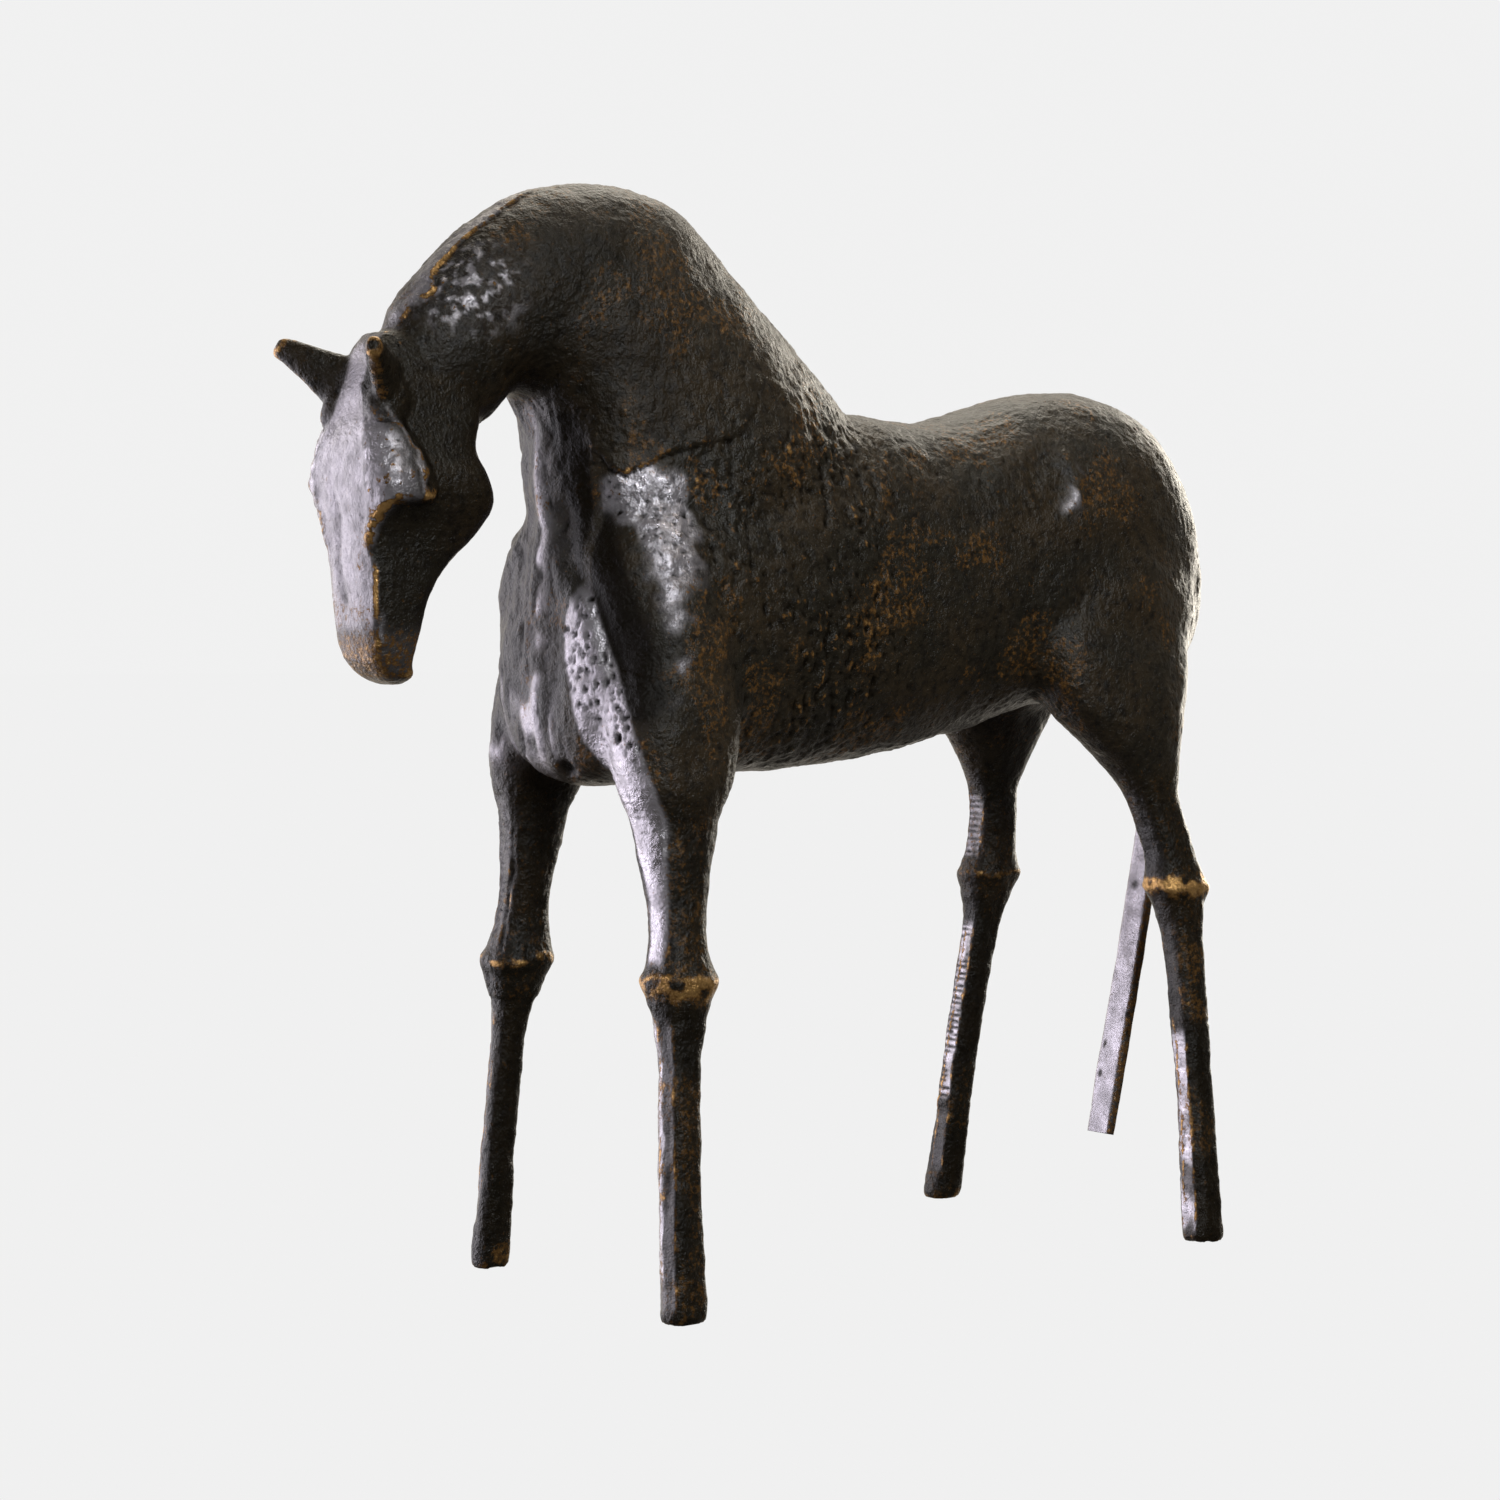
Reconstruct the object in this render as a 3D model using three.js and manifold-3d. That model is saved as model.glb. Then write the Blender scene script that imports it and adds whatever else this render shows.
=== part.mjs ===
// Hollow-cast bronze horse statuette, head lowered, made of separate castings that are pinned together.
// Millimetres. +Z up, the horse faces -Y, its left side is +X, and it stands on z = 0.
import * as THREE from "three";
import { mergeVertices } from "three/addons/utils/BufferGeometryUtils.js";
import Module from "manifold-3d";

const wasm = await Module();
wasm.setup();

// ---------------------------------------------------------------- driving dimensions
const WALL = 4; // thickness of the hollow castings
const GAP = 0.3; // clearance between two faces that meet
const BORE_GAP = 0.2; // radial clearance of a pin in its bore
const RING_THICK = 3; // backing ring inside a shell joint
const RING_REACH = 7; // how far a backing ring reaches to each side of its joint
const EAR_CANT = 3; // the left ear droops by this much at its tip and the right one lifts
const HEAD_SQUARENESS = 4.5;
const LEG_PIN_RADIUS = 4;
const HIP_PIN_LENGTH = 34;
const KNEE_PIN_LENGTH = 24;
const CANNON_PIN_RADIUS = 3;
const CANNON_PIN_LENGTH = 18;
const PLUG_RADIUS = 3;
const SPIGOT_RADIUS = 3;
const VENT_RADIUS = 4.5; // open core hole under the brisket
const FAR = 400; // half size of the blocks that cut the castings apart

// Joint planes between the castings.
const POLL_JOINT = { at: [0, -209, 378], normal: [0, -0.66, -0.75] };
const WITHERS_JOINT = { at: [0, -100, 368], normal: [0, -0.37, 0.93] };
const LOIN_Y = -20;
const FORE_HIP_Z = 206;
const HIND_HIP_Z = 224;
const KNEE_Z = 119;
const HOCK_Z = 148;
const CANNON_SEAM_Z = 98.5; // butt seam in the left hind cannon

// ---------------------------------------------------------------- station tables
// Barrel, slices across Y: y, top z, bottom z, half width.
const BARREL = [
  [-158, 304, 238, 25],
  [-156, 316, 226, 35],
  [-150, 329, 216, 45],
  [-135, 341, 211, 53.5],
  [-105, 352, 212, 57],
  [-70, 361, 215, 56],
  [-35, 368, 217, 53],
  [0, 372.5, 219.5, 51],
  [30, 369.5, 225, 51],
  [60, 374, 231.5, 52],
  [90, 383, 240, 55],
  [120, 388, 245, 57],
  [145, 385, 248, 56],
  [165, 374.5, 250, 51],
  [180, 359, 252, 44],
  [190, 341, 256, 36],
  [197, 319, 265, 25],
  [200, 305, 276, 13],
];
// Neck, slices fanned round the throat: crest y, z, underside y, z, half width.
const NECK = [
  [-235, 388, -200, 352, 19],
  [-225, 406.5, -184, 363, 24],
  [-207, 427.5, -178, 371, 26.5],
  [-184, 445.5, -170, 373, 29.5],
  [-160, 457.5, -163, 368, 33],
  [-130, 461, -157, 353, 36.5],
  [-101, 456, -157, 335, 40.5],
  [-74.5, 434.5, -155, 316, 44],
  [-46, 407.5, -150, 296, 49],
  [-20, 383, -146, 275, 51],
  [5, 363, -136, 258, 46],
];
// Head, level slices: z, front y, back y, half width.
const HEAD = [
  [394, -236, -217, 10],
  [388, -241, -208, 15],
  [376, -245, -199, 19],
  [362, -247.5, -196, 21.5],
  [348, -252, -199.5, 25],
  [336, -252.5, -195.5, 29],
  [326, -251.5, -192.5, 27],
  [315, -250, -199, 22],
  [303, -249, -210, 19],
  [290, -248, -218.6, 18],
  [276, -247, -222.5, 16.5],
  [265, -244.5, -225, 14.5],
  [258, -238, -225.5, 11],
  [255, -232, -227, 5],
];
// Leg sections from the sole up: z, half size across X, half size along Y.
const FORE_PROFILE = [
  [0, 6.6, 7.6],
  [3, 7.6, 8.6],
  [12, 7.8, 8.8],
  [40, 7.2, 8],
  [75, 7.2, 7.9],
  [100, 7.3, 8],
  [110, 7.8, 8.7],
  [118, 9, 10],
  [125, 11.2, 12.3],
  [133, 13.4, 15.2],
  [139, 12.6, 13.6],
  [148, 10.8, 11.6],
  [160, 10.2, 11.2],
  [172, 10.8, 12.4],
  [186, 12.2, 15],
  [200, 15, 18.6],
  [212, 17.5, 23],
  [232, 18.5, 27.5],
  [256, 17, 27],
  [268, 12, 20],
];
const HIND_PROFILE = [
  [0, 6.8, 8.2],
  [3, 7.8, 9.2],
  [12, 7.8, 8.8],
  [40, 7.2, 8],
  [80, 7.3, 8.1],
  [120, 7.6, 8.4],
  [138, 8.2, 9.2],
  [148, 9.8, 11.4],
  [158, 11.8, 15],
  [164, 11.4, 14.4],
  [174, 10.2, 11.6],
  [188, 10.4, 11.8],
  [202, 11.6, 14],
  [216, 14.4, 19.5],
  [230, 18, 28],
  [246, 21, 38],
  [266, 22, 44],
  [290, 20, 40],
];
// Each leg's axis from the sole up (x, y, z), and how stout its cannon and its thigh or forearm are.
const LEGS = {
  left_fore: {
    axis: [[69.5, -136.8, 0], [62.5, -133.6, 75], [56.5, -129, 133], [50.5, -127, 190], [44, -123, 268]],
    profile: FORE_PROFILE,
    knee: KNEE_Z,
    hip: FORE_HIP_Z,
    cannon: 1.04,
    thigh: 1.04,
  },
  right_fore: {
    axis: [[-70, -139.6, 0], [-63, -137.4, 75], [-57, -133.6, 133], [-51, -130, 190], [-45, -124, 268]],
    profile: FORE_PROFILE,
    knee: KNEE_Z,
    hip: FORE_HIP_Z,
    cannon: 0.9,
    thigh: 0.88,
  },
  left_hind: {
    axis: [
      [77.5, 150.3, 0],
      [67, 153, 85],
      [57.5, 152, 160],
      [51.5, 140, 205],
      [45, 124, 246],
      [38, 124, 290],
    ],
    profile: HIND_PROFILE,
    knee: HOCK_Z,
    hip: HIND_HIP_Z,
    cannon: 1,
    thigh: 1,
  },
  right_hind: {
    axis: [
      [-77.3, 127.5, 0],
      [-67, 132.6, 85],
      [-57.5, 140, 160],
      [-52, 137.6, 205],
      [-45, 131, 246],
      [-38, 128, 290],
    ],
    profile: HIND_PROFILE,
    knee: HOCK_Z,
    hip: HIND_HIP_Z,
    cannon: 0.97,
    thigh: 0.95,
  },
};
// Tail, a flat bar: y, z of its middle, half width across X, half thickness.
const TAIL = [
  [199, 322, 5, 3.4],
  [205, 306, 6.4, 3],
  [205.5, 270, 7, 2.7],
  [201, 225, 7.3, 2.6],
  [190, 172, 7.6, 2.6],
  [178, 115, 7.6, 2.6],
  [167, 68, 7.8, 2.7],
  [160.5, 38, 7.4, 2.6],
];
// Left ear from root to tip: x, y, z, half breadth, half thickness. The right ear mirrors it.
const EAR = [
  [8, -231, 367, 13, 7],
  [14, -238, 371, 13, 6],
  [20, -243, 375.5, 10.5, 5],
  [27, -250, 381, 7.4, 4.3],
  [33, -255, 385, 5.4, 3.8],
  [37, -258.5, 387, 4, 3],
  [38.3, -259.6, 387.8, 2, 1.6],
];
// Core-pin plugs: a point inside the wall, and the direction out of it.
const PLUGS = {
  core_plug_left_hip: { from: [30, 92, 312], out: [1, 0, 0.1] },
  core_plug_right_hip: { from: [-30, 92, 312], out: [-1, 0, 0.1] },
  core_plug_left_flank: { from: [30, 40, 262], out: [1, 0, -0.35] },
  core_plug_right_flank: { from: [-30, 40, 262], out: [-1, 0, -0.35] },
  core_plug_belly_fore: { from: [0, -70, 240], out: [0, 0, -1] },
  core_plug_belly_hind: { from: [0, 70, 260], out: [0, 0, -1] },
};

// ---------------------------------------------------------------- materials
const patina = new THREE.MeshStandardMaterial({ color: 0x2c241d, roughness: 0.42, metalness: 0.85 });
const bareBronze = new THREE.MeshStandardMaterial({ color: 0x9a6f3c, roughness: 0.35, metalness: 1 });

// ---------------------------------------------------------------- shape helpers
const vec = (p) => new THREE.Vector3(...p);
const X_AXIS = vec([1, 0, 0]);
const Y_AXIS = vec([0, 1, 0]);
const Z_AXIS = vec([0, 0, 1]);

// A table with every column carried through its rows by a Catmull-Rom curve.
function refine(rows, stepsPerSpan) {
  const made = [];
  const row = (i) => rows[Math.min(rows.length - 1, Math.max(0, i))];
  for (let i = 0; i < rows.length - 1; i++) {
    for (let s = 0; s < stepsPerSpan; s++) {
      const t = s / stepsPerSpan;
      made.push(
        row(i).map((b, k) => {
          const [a, c, d] = [row(i - 1)[k], row(i + 1)[k], row(i + 2)[k]];
          const square = 2 * a - 5 * b + 4 * c - d;
          const cube = 3 * b - a - 3 * c + d;
          return 0.5 * (2 * b + (c - a) * t + square * t ** 2 + cube * t ** 3);
        }),
      );
    }
  }
  return [...made, rows.at(-1)];
}

// One ring of a loft: a superellipse round a centre, with half sizes along two directions.
function ring(centre, u, v, halfU, halfV, squareness, sides) {
  return Array.from({ length: sides }, (_, i) => {
    const a = (2 * Math.PI * (i + 0.5)) / sides;
    const part = (x) => Math.sign(x) * Math.abs(x) ** (2 / squareness);
    return centre
      .clone()
      .addScaledVector(u, halfU * part(Math.cos(a)))
      .addScaledVector(v, halfV * part(Math.sin(a)));
  });
}

// A closed body through a list of rings, as a manifold-3d solid.
function loft(rings) {
  const sides = rings[0].length;
  const centroid = (r) => r.reduce((s, p) => s.add(p), new THREE.Vector3()).divideScalar(r.length);
  const points = [...rings.flat(), centroid(rings[0]), centroid(rings.at(-1))];
  const [first, last] = [points.length - 2, points.length - 1];
  const faces = [];
  for (let i = 0; i < sides; i++) {
    const j = (i + 1) % sides;
    for (let k = 0; k < rings.length - 1; k++) {
      const [a, b, c, d] = [k * sides + i, k * sides + j, (k + 1) * sides + j, (k + 1) * sides + i];
      faces.push(a, b, c, a, c, d);
    }
    faces.push(first, j, i);
    faces.push(last, (rings.length - 1) * sides + i, (rings.length - 1) * sides + j);
  }
  const geometry = new THREE.BufferGeometry().setFromPoints(points).setIndex(faces);
  return solidFrom(geometry);
}

// A closed three.js geometry as a manifold-3d solid with its faces pointing out.
function solidFrom(geometry) {
  const bare = geometry.clone();
  bare.deleteAttribute("normal");
  bare.deleteAttribute("uv");
  const merged = mergeVertices(bare, 1e-4);
  const vertProperties = merged.attributes.position.array;
  const triVerts = new Uint32Array(merged.index.array);
  const made = new wasm.Manifold(new wasm.Mesh({ numProp: 3, vertProperties, triVerts }));
  if (made.volume() > 0) return made;
  for (let i = 0; i < triVerts.length; i += 3) {
    [triVerts[i], triVerts[i + 1]] = [triVerts[i + 1], triVerts[i]];
  }
  return new wasm.Manifold(new wasm.Mesh({ numProp: 3, vertProperties, triVerts }));
}

// A manifold-3d solid back as a three.js geometry.
function geometryFrom(solid) {
  const { numProp, numVert, vertProperties, triVerts } = solid.getMesh();
  const position = new Float32Array(numVert * 3);
  for (let i = 0; i < numVert; i++) {
    position.set(vertProperties.subarray(i * numProp, i * numProp + 3), i * 3);
  }
  const geometry = new THREE.BufferGeometry();
  geometry.setAttribute("position", new THREE.BufferAttribute(position, 3));
  geometry.setIndex(new THREE.BufferAttribute(triVerts, 1));
  geometry.computeVertexNormals();
  return geometry;
}

// A round bar between two points.
function rod(from, to, radius, sides = 16) {
  const [a, b] = [vec(from), vec(to)];
  const geometry = new THREE.CylinderGeometry(radius, radius, a.distanceTo(b), sides);
  const turn = new THREE.Quaternion().setFromUnitVectors(Y_AXIS, b.clone().sub(a).normalize());
  return solidFrom(geometry.applyQuaternion(turn).translate(...a.add(b).divideScalar(2)));
}

function block(low, high) {
  const [a, b] = [vec(low), vec(high)];
  const geometry = new THREE.BoxGeometry(...b.clone().sub(a));
  return solidFrom(geometry.translate(...a.add(b).divideScalar(2)));
}

// Everything on the side of a plane that its normal points to, moved along the normal by an offset.
function beyond(plane, offset) {
  const normal = vec(plane.normal).normalize();
  const turn = new THREE.Quaternion().setFromUnitVectors(Z_AXIS, normal);
  const centre = vec(plane.at).addScaledVector(normal, FAR + offset);
  const geometry = new THREE.BoxGeometry(2 * FAR, 2 * FAR, 2 * FAR);
  return solidFrom(geometry.applyQuaternion(turn).translate(...centre));
}

const union = (solids) => solids.reduce((a, b) => a.add(b));

// ---------------------------------------------------------------- outer forms, grown or shrunk by an offset
const THINNEST = 1.5; // a ring with a smaller half size is left out of a shrunk form

const trimmed = (rings) => rings.filter((r) => r !== null);

// A place along a form that runs from low to high, moved with its ends when the form grows or shrinks.
function inset(place, low, high, grow) {
  if (place <= low) return low - grow;
  if (place >= high) return high + grow;
  return Math.min(high + grow, Math.max(low - grow, place));
}

function barrel(grow = 0) {
  const rows = refine(BARREL, 1);
  const made = rows.map(([y, top, bottom, half]) => {
    const halfZ = (top - bottom) / 2 + grow;
    if (Math.min(halfZ, half + grow) < THINNEST) return null;
    const place = inset(y, BARREL[0][0], BARREL.at(-1)[0], grow);
    const centre = new THREE.Vector3(0, place, (top + bottom) / 2);
    return ring(centre, X_AXIS, Z_AXIS, half + grow, halfZ, 2.35, 28);
  });
  return loft(trimmed(made));
}

function neck(grow = 0) {
  const rows = refine(NECK, 2);
  const made = rows.map(([crestY, crestZ, underY, underZ, half], i) => {
    const crest = new THREE.Vector3(0, crestY, crestZ);
    const under = new THREE.Vector3(0, underY, underZ);
    const along = crest.clone().sub(under).normalize();
    const end = i === 0 ? -grow : i === rows.length - 1 ? grow : 0;
    const outward = new THREE.Vector3().crossVectors(along, X_AXIS).multiplyScalar(end);
    const centre = crest.clone().add(under).divideScalar(2).add(outward);
    return ring(centre, along, X_AXIS, crest.distanceTo(under) / 2 + grow, half + grow, 2.15, 22);
  });
  return loft(made);
}

function head(grow = 0) {
  const rows = refine(HEAD, 1);
  const made = rows.map(([z, front, back, half]) => {
    const halfY = (back - front) / 2 + grow;
    if (Math.min(halfY, half + grow) < THINNEST) return null;
    const level = inset(z, HEAD.at(-1)[0], HEAD[0][0], grow);
    const centre = new THREE.Vector3(0, (front + back) / 2, level);
    return ring(centre, X_AXIS, Y_AXIS, half + grow, halfY, HEAD_SQUARENESS, 20);
  });
  return loft(trimmed(made));
}

function leg({ axis, profile, cannon, thigh, knee }) {
  const line = new THREE.CatmullRomCurve3(axis.map(vec), false, "centripetal").getPoints(80);
  const at = (z) => {
    const i = Math.max(1, line.findIndex((p) => p.z >= z - 1e-6));
    const t = (z - line[i - 1].z) / (line[i].z - line[i - 1].z);
    return line[i - 1].clone().lerp(line[i], t);
  };
  const rings = profile.map(([z, halfX, halfY]) => {
    const reach = Math.min(1, Math.max(0, (z - knee - 30) / 40));
    const stout = z < knee ? cannon : 1 + (thigh - 1) * reach;
    const squareness = z < knee ? 3 : 2.5;
    return ring(at(z), X_AXIS, Y_AXIS, halfX * stout, halfY * stout, squareness, 14);
  });
  return { solid: loft(rings), at };
}

function tail() {
  const rows = refine(TAIL, 2);
  const made = rows.map(([y, z, halfX, halfT], i) => {
    const before = rows[Math.max(0, i - 1)];
    const after = rows[Math.min(rows.length - 1, i + 1)];
    const run = new THREE.Vector3(0, after[0] - before[0], after[1] - before[1]).normalize();
    const across = new THREE.Vector3().crossVectors(X_AXIS, run);
    return ring(new THREE.Vector3(0, y, z), X_AXIS, across, halfX, halfT, 5, 12);
  });
  return loft(made);
}

function ear(side) {
  const rows = refine(EAR, 2);
  const run = vec([side * (rows.at(-1)[0] - rows[0][0]), rows.at(-1)[1] - rows[0][1], 20]).normalize();
  const broad = Z_AXIS.clone().addScaledVector(run, -run.z).normalize();
  const thick = new THREE.Vector3().crossVectors(run, broad);
  const made = rows.map(([x, y, z, half, thin], i) => {
    const lift = (-side * EAR_CANT * i) / (rows.length - 1);
    return ring(new THREE.Vector3(side * x, y, z + lift), broad, thick, half, thin, 2.2, 12);
  });
  return loft(made);
}

// ---------------------------------------------------------------- the whole skin, and its hollow
const legForms = Object.fromEntries(Object.entries(LEGS).map(([name, form]) => [name, leg(form)]));
const shellForm = (grow) => union([barrel(grow), neck(grow), head(grow)]);
const skin = union([shellForm(0), ...Object.values(legForms).map((form) => form.solid)]);
const hollow = shellForm(-WALL);
const shell = skin.subtract(hollow);

const headSpace = block([-FAR, -FAR, 235], [FAR, -170, FAR]);
const pollSide = (offset) => beyond(POLL_JOINT, offset).intersect(headSpace);
const withersSide = (offset) => beyond(WITHERS_JOINT, offset);
const foreSide = (y) => block([-FAR, -FAR, -FAR], [FAR, y, 2 * FAR]);

// The column of space that holds one leg, between two levels.
function legColumn(name, low, high) {
  const side = Math.sign(LEGS[name].axis[0][0]);
  const [near, far] = side > 0 ? [12, 110] : [-110, -12];
  const [front, back] = name.endsWith("fore") ? [-175, -80] : [80, 195];
  return block([near, front, low], [far, back, high]);
}

// ---------------------------------------------------------------- assembly
const horse = new THREE.Group();

function addPart(parent, name, solid, material) {
  const mesh = new THREE.Mesh(geometryFrom(solid), material);
  mesh.name = name;
  parent.add(mesh);
  return mesh;
}

// A round pin as a mesh placed by its own position and rotation.
function addPin(parent, name, from, to, radius) {
  const [a, b] = [vec(from), vec(to)];
  const mesh = new THREE.Mesh(new THREE.CylinderGeometry(radius, radius, a.distanceTo(b), 16), bareBronze);
  mesh.quaternion.setFromUnitVectors(Y_AXIS, b.clone().sub(a).normalize());
  mesh.position.copy(a.add(b).divideScalar(2));
  mesh.name = name;
  parent.add(mesh);
}

// The two points on a leg's axis that lie a given distance below and above a level.
function pinEnds(form, z, reach) {
  const middle = form.at(z);
  const run = form.at(z + 6).sub(form.at(z - 6)).normalize();
  return [-reach, reach].map((d) => middle.clone().addScaledVector(run, d).toArray());
}

// Pins, and the bores that they need in the castings.
const bores = [];
function pinAndBore(parent, name, from, to, radius) {
  addPin(parent, name, from, to, radius);
  const [a, b] = [vec(from), vec(to)];
  const run = b.clone().sub(a).normalize().multiplyScalar(GAP);
  bores.push(rod(a.sub(run).toArray(), b.add(run).toArray(), radius + BORE_GAP));
}

const legGroups = {};
for (const [name, { knee, hip }] of Object.entries(LEGS)) {
  const group = new THREE.Group();
  horse.add(group);
  legGroups[name] = group;
  const hipEnds = pinEnds(legForms[name], hip, HIP_PIN_LENGTH / 2);
  const kneeEnds = pinEnds(legForms[name], knee, KNEE_PIN_LENGTH / 2);
  pinAndBore(group, `${name}_hip_pin`, ...hipEnds, LEG_PIN_RADIUS);
  pinAndBore(group, `${name}_knee_pin`, ...kneeEnds, LEG_PIN_RADIUS);
}
const cannonEnds = pinEnds(legForms.left_hind, CANNON_SEAM_Z, CANNON_PIN_LENGTH / 2);
pinAndBore(legGroups.left_hind, "left_hind_cannon_pin", ...cannonEnds, CANNON_PIN_RADIUS);

// Ear and tail spigots run through the wall into the hollow.
const spigots = {
  left_ear: [[6, -226, 373], [16, -240, 384]],
  right_ear: [[-6, -226, 373], [-16, -240, 384]],
  tail: [[0, 188, 312], [0, 203, 312]],
};
for (const [from, to] of Object.values(spigots)) bores.push(rod(from, to, SPIGOT_RADIUS + BORE_GAP));
const plugHoles = Object.values(PLUGS).map(({ from, out }) => {
  const end = vec(from).addScaledVector(vec(out), 60);
  return rod(from, end.toArray(), PLUG_RADIUS + BORE_GAP);
});
const vent = rod([10, -154, 205], [2, -136, 245], VENT_RADIUS);

const bored = (solid) => solid.subtract(union([...bores, ...plugHoles, vent]));

// Shell castings.
const trunk = new THREE.Group();
horse.add(trunk);
const legColumns = Object.entries(LEGS).map(([name, { hip }]) => legColumn(name, -10, hip + GAP / 2));
const withoutLegs = shell.subtract(union(legColumns)).subtract(pollSide(-GAP / 2));
const body = withoutLegs.subtract(withersSide(-GAP / 2));
const crest = withoutLegs.intersect(withersSide(GAP / 2));
const largest = (solid) => solid.decompose().sort((a, b) => b.volume() - a.volume())[0];
const castings = {
  forequarters_casting: body.intersect(foreSide(LOIN_Y - GAP / 2)),
  hindquarters_casting: body.subtract(foreSide(LOIN_Y + GAP / 2)),
  neck_casting: crest,
  head_casting: shell.intersect(pollSide(GAP / 2)),
};
for (const [name, solid] of Object.entries(castings)) addPart(trunk, name, largest(bored(solid)), patina);

// Backing rings inside the three shell joints.
const ringStock = shellForm(-WALL - GAP).subtract(shellForm(-WALL - GAP - RING_THICK));
const headEnd = block([-FAR, -FAR, 335], [FAR, -175, FAR]);
const bodyEnd = block([-FAR, -170, 0], [FAR, FAR, FAR]);
const rings = {
  poll_backing_ring: [POLL_JOINT, headEnd],
  withers_backing_ring: [WITHERS_JOINT, bodyEnd],
  loin_backing_ring: [{ at: [0, LOIN_Y, 300], normal: [0, 1, 0] }, bodyEnd],
};
for (const [name, [plane, space]] of Object.entries(rings)) {
  const slice = beyond(plane, -RING_REACH).subtract(beyond(plane, RING_REACH));
  addPart(trunk, name, largest(ringStock.intersect(slice).intersect(space)), bareBronze);
}

// Ears and tail, trimmed to the skin, each with a spigot through the wall.
const clearSkin = shellForm(GAP);
function fitted(form, [from, to]) {
  return largest(form.subtract(clearSkin)).add(rod(from, to, SPIGOT_RADIUS));
}
addPart(trunk, "left_ear", fitted(ear(1), spigots.left_ear), patina);
addPart(trunk, "right_ear", fitted(ear(-1), spigots.right_ear), patina);
addPart(trunk, "tail_bar", fitted(tail(), spigots.tail), patina);

// Core-pin plugs, flush with the skin.
for (const [name, { from, out }] of Object.entries(PLUGS)) {
  const end = vec(from).addScaledVector(vec(out), 60);
  addPart(trunk, name, largest(rod(from, end.toArray(), PLUG_RADIUS).intersect(shell)), bareBronze);
}

// Leg castings.
for (const [name, { knee, hip }] of Object.entries(LEGS)) {
  const group = legGroups[name];
  const upperLeg = skin.intersect(legColumn(name, knee + GAP / 2, hip - GAP / 2));
  const cannon = skin.intersect(legColumn(name, -10, knee - GAP / 2));
  addPart(group, `${name}_upper_leg`, largest(bored(upperLeg)), patina);
  if (name !== "left_hind") {
    addPart(group, `${name}_cannon`, largest(bored(cannon)), patina);
    continue;
  }
  const above = legColumn(name, CANNON_SEAM_Z + GAP / 2, knee);
  const below = legColumn(name, -10, CANNON_SEAM_Z - GAP / 2);
  addPart(group, `${name}_cannon`, largest(bored(cannon.intersect(above))), patina);
  addPart(group, `${name}_foot_section`, largest(bored(cannon.intersect(below))), patina);
}

// The origin is on the ground, at the centre of the horse's outline seen from above.
const statuette = new THREE.Group();
statuette.add(horse);
const box = new THREE.Box3().setFromObject(horse, true);
const middle = box.getCenter(new THREE.Vector3());
horse.position.set(-middle.x, -middle.y, -box.min.z);

export default statuette;
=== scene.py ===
import math

import bpy
import numpy as np
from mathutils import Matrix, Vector


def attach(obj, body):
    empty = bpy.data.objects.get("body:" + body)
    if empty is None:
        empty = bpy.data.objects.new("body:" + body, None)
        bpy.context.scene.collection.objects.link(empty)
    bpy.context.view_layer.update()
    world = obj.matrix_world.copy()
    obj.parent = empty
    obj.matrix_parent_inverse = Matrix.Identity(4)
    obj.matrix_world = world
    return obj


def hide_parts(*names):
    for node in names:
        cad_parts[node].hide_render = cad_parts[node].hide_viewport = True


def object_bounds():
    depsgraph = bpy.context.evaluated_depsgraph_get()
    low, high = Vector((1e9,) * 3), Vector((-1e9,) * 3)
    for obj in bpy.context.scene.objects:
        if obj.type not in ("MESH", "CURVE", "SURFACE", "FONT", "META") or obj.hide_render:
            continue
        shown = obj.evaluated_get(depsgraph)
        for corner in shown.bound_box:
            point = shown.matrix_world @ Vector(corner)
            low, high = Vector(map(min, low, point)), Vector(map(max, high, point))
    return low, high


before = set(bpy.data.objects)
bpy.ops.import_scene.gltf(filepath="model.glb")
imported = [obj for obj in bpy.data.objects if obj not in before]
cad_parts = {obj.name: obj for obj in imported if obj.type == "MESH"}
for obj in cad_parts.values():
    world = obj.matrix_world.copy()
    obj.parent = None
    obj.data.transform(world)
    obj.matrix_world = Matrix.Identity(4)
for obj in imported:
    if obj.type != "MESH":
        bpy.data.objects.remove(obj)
cad_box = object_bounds()
scene = bpy.context.scene

MM = 0.001
# The castings are laid out in millimetres from the middle of the four feet: x to the horse's left, y to its
# tail, z up. OFFSET is added to reach the frame's origin.
OFFSET = np.array([-0.2114, 26.2046, 0.0])
COARSE_VOXEL = 2.6  # first fusing, of the whole body
BODY_VOXEL = 1.2  # second fusing, which carries the detail
SEED = 7
rng = np.random.default_rng(SEED)

# ---------------- the horse's form, as stations
# Barrel: y, top z, bottom z, half width.
BARREL = [
    (-158, 304, 238, 25), (-156, 316, 226, 35), (-150, 329, 216, 45), (-135, 341, 211, 53.5),
    (-105, 352, 212, 57), (-70, 361, 215, 56), (-35, 368, 217, 53), (0, 372.5, 219.5, 51),
    (30, 369.5, 225, 51), (60, 374, 231.5, 52), (90, 383, 240, 55), (120, 388, 245, 57),
    (145, 385, 248, 56), (165, 374.5, 250, 51), (180, 359, 252, 44), (190, 341, 256, 36),
    (197, 319, 265, 25), (200, 305, 276, 13),
]
# Neck: crest y, z, underside y, z, half width.
NECK = [
    (-235, 388, -200, 352, 19), (-225, 406.5, -184, 363, 24), (-207, 427.5, -178, 371, 26.5),
    (-184, 445.5, -170, 373, 29.5), (-160, 457.5, -163, 368, 33), (-130, 461, -157, 353, 36.5),
    (-101, 456, -157, 335, 40.5), (-74.5, 434.5, -155, 316, 44), (-46, 407.5, -150, 296, 49),
    (-20, 383, -146, 275, 51), (5, 363, -136, 258, 46),
]
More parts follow.
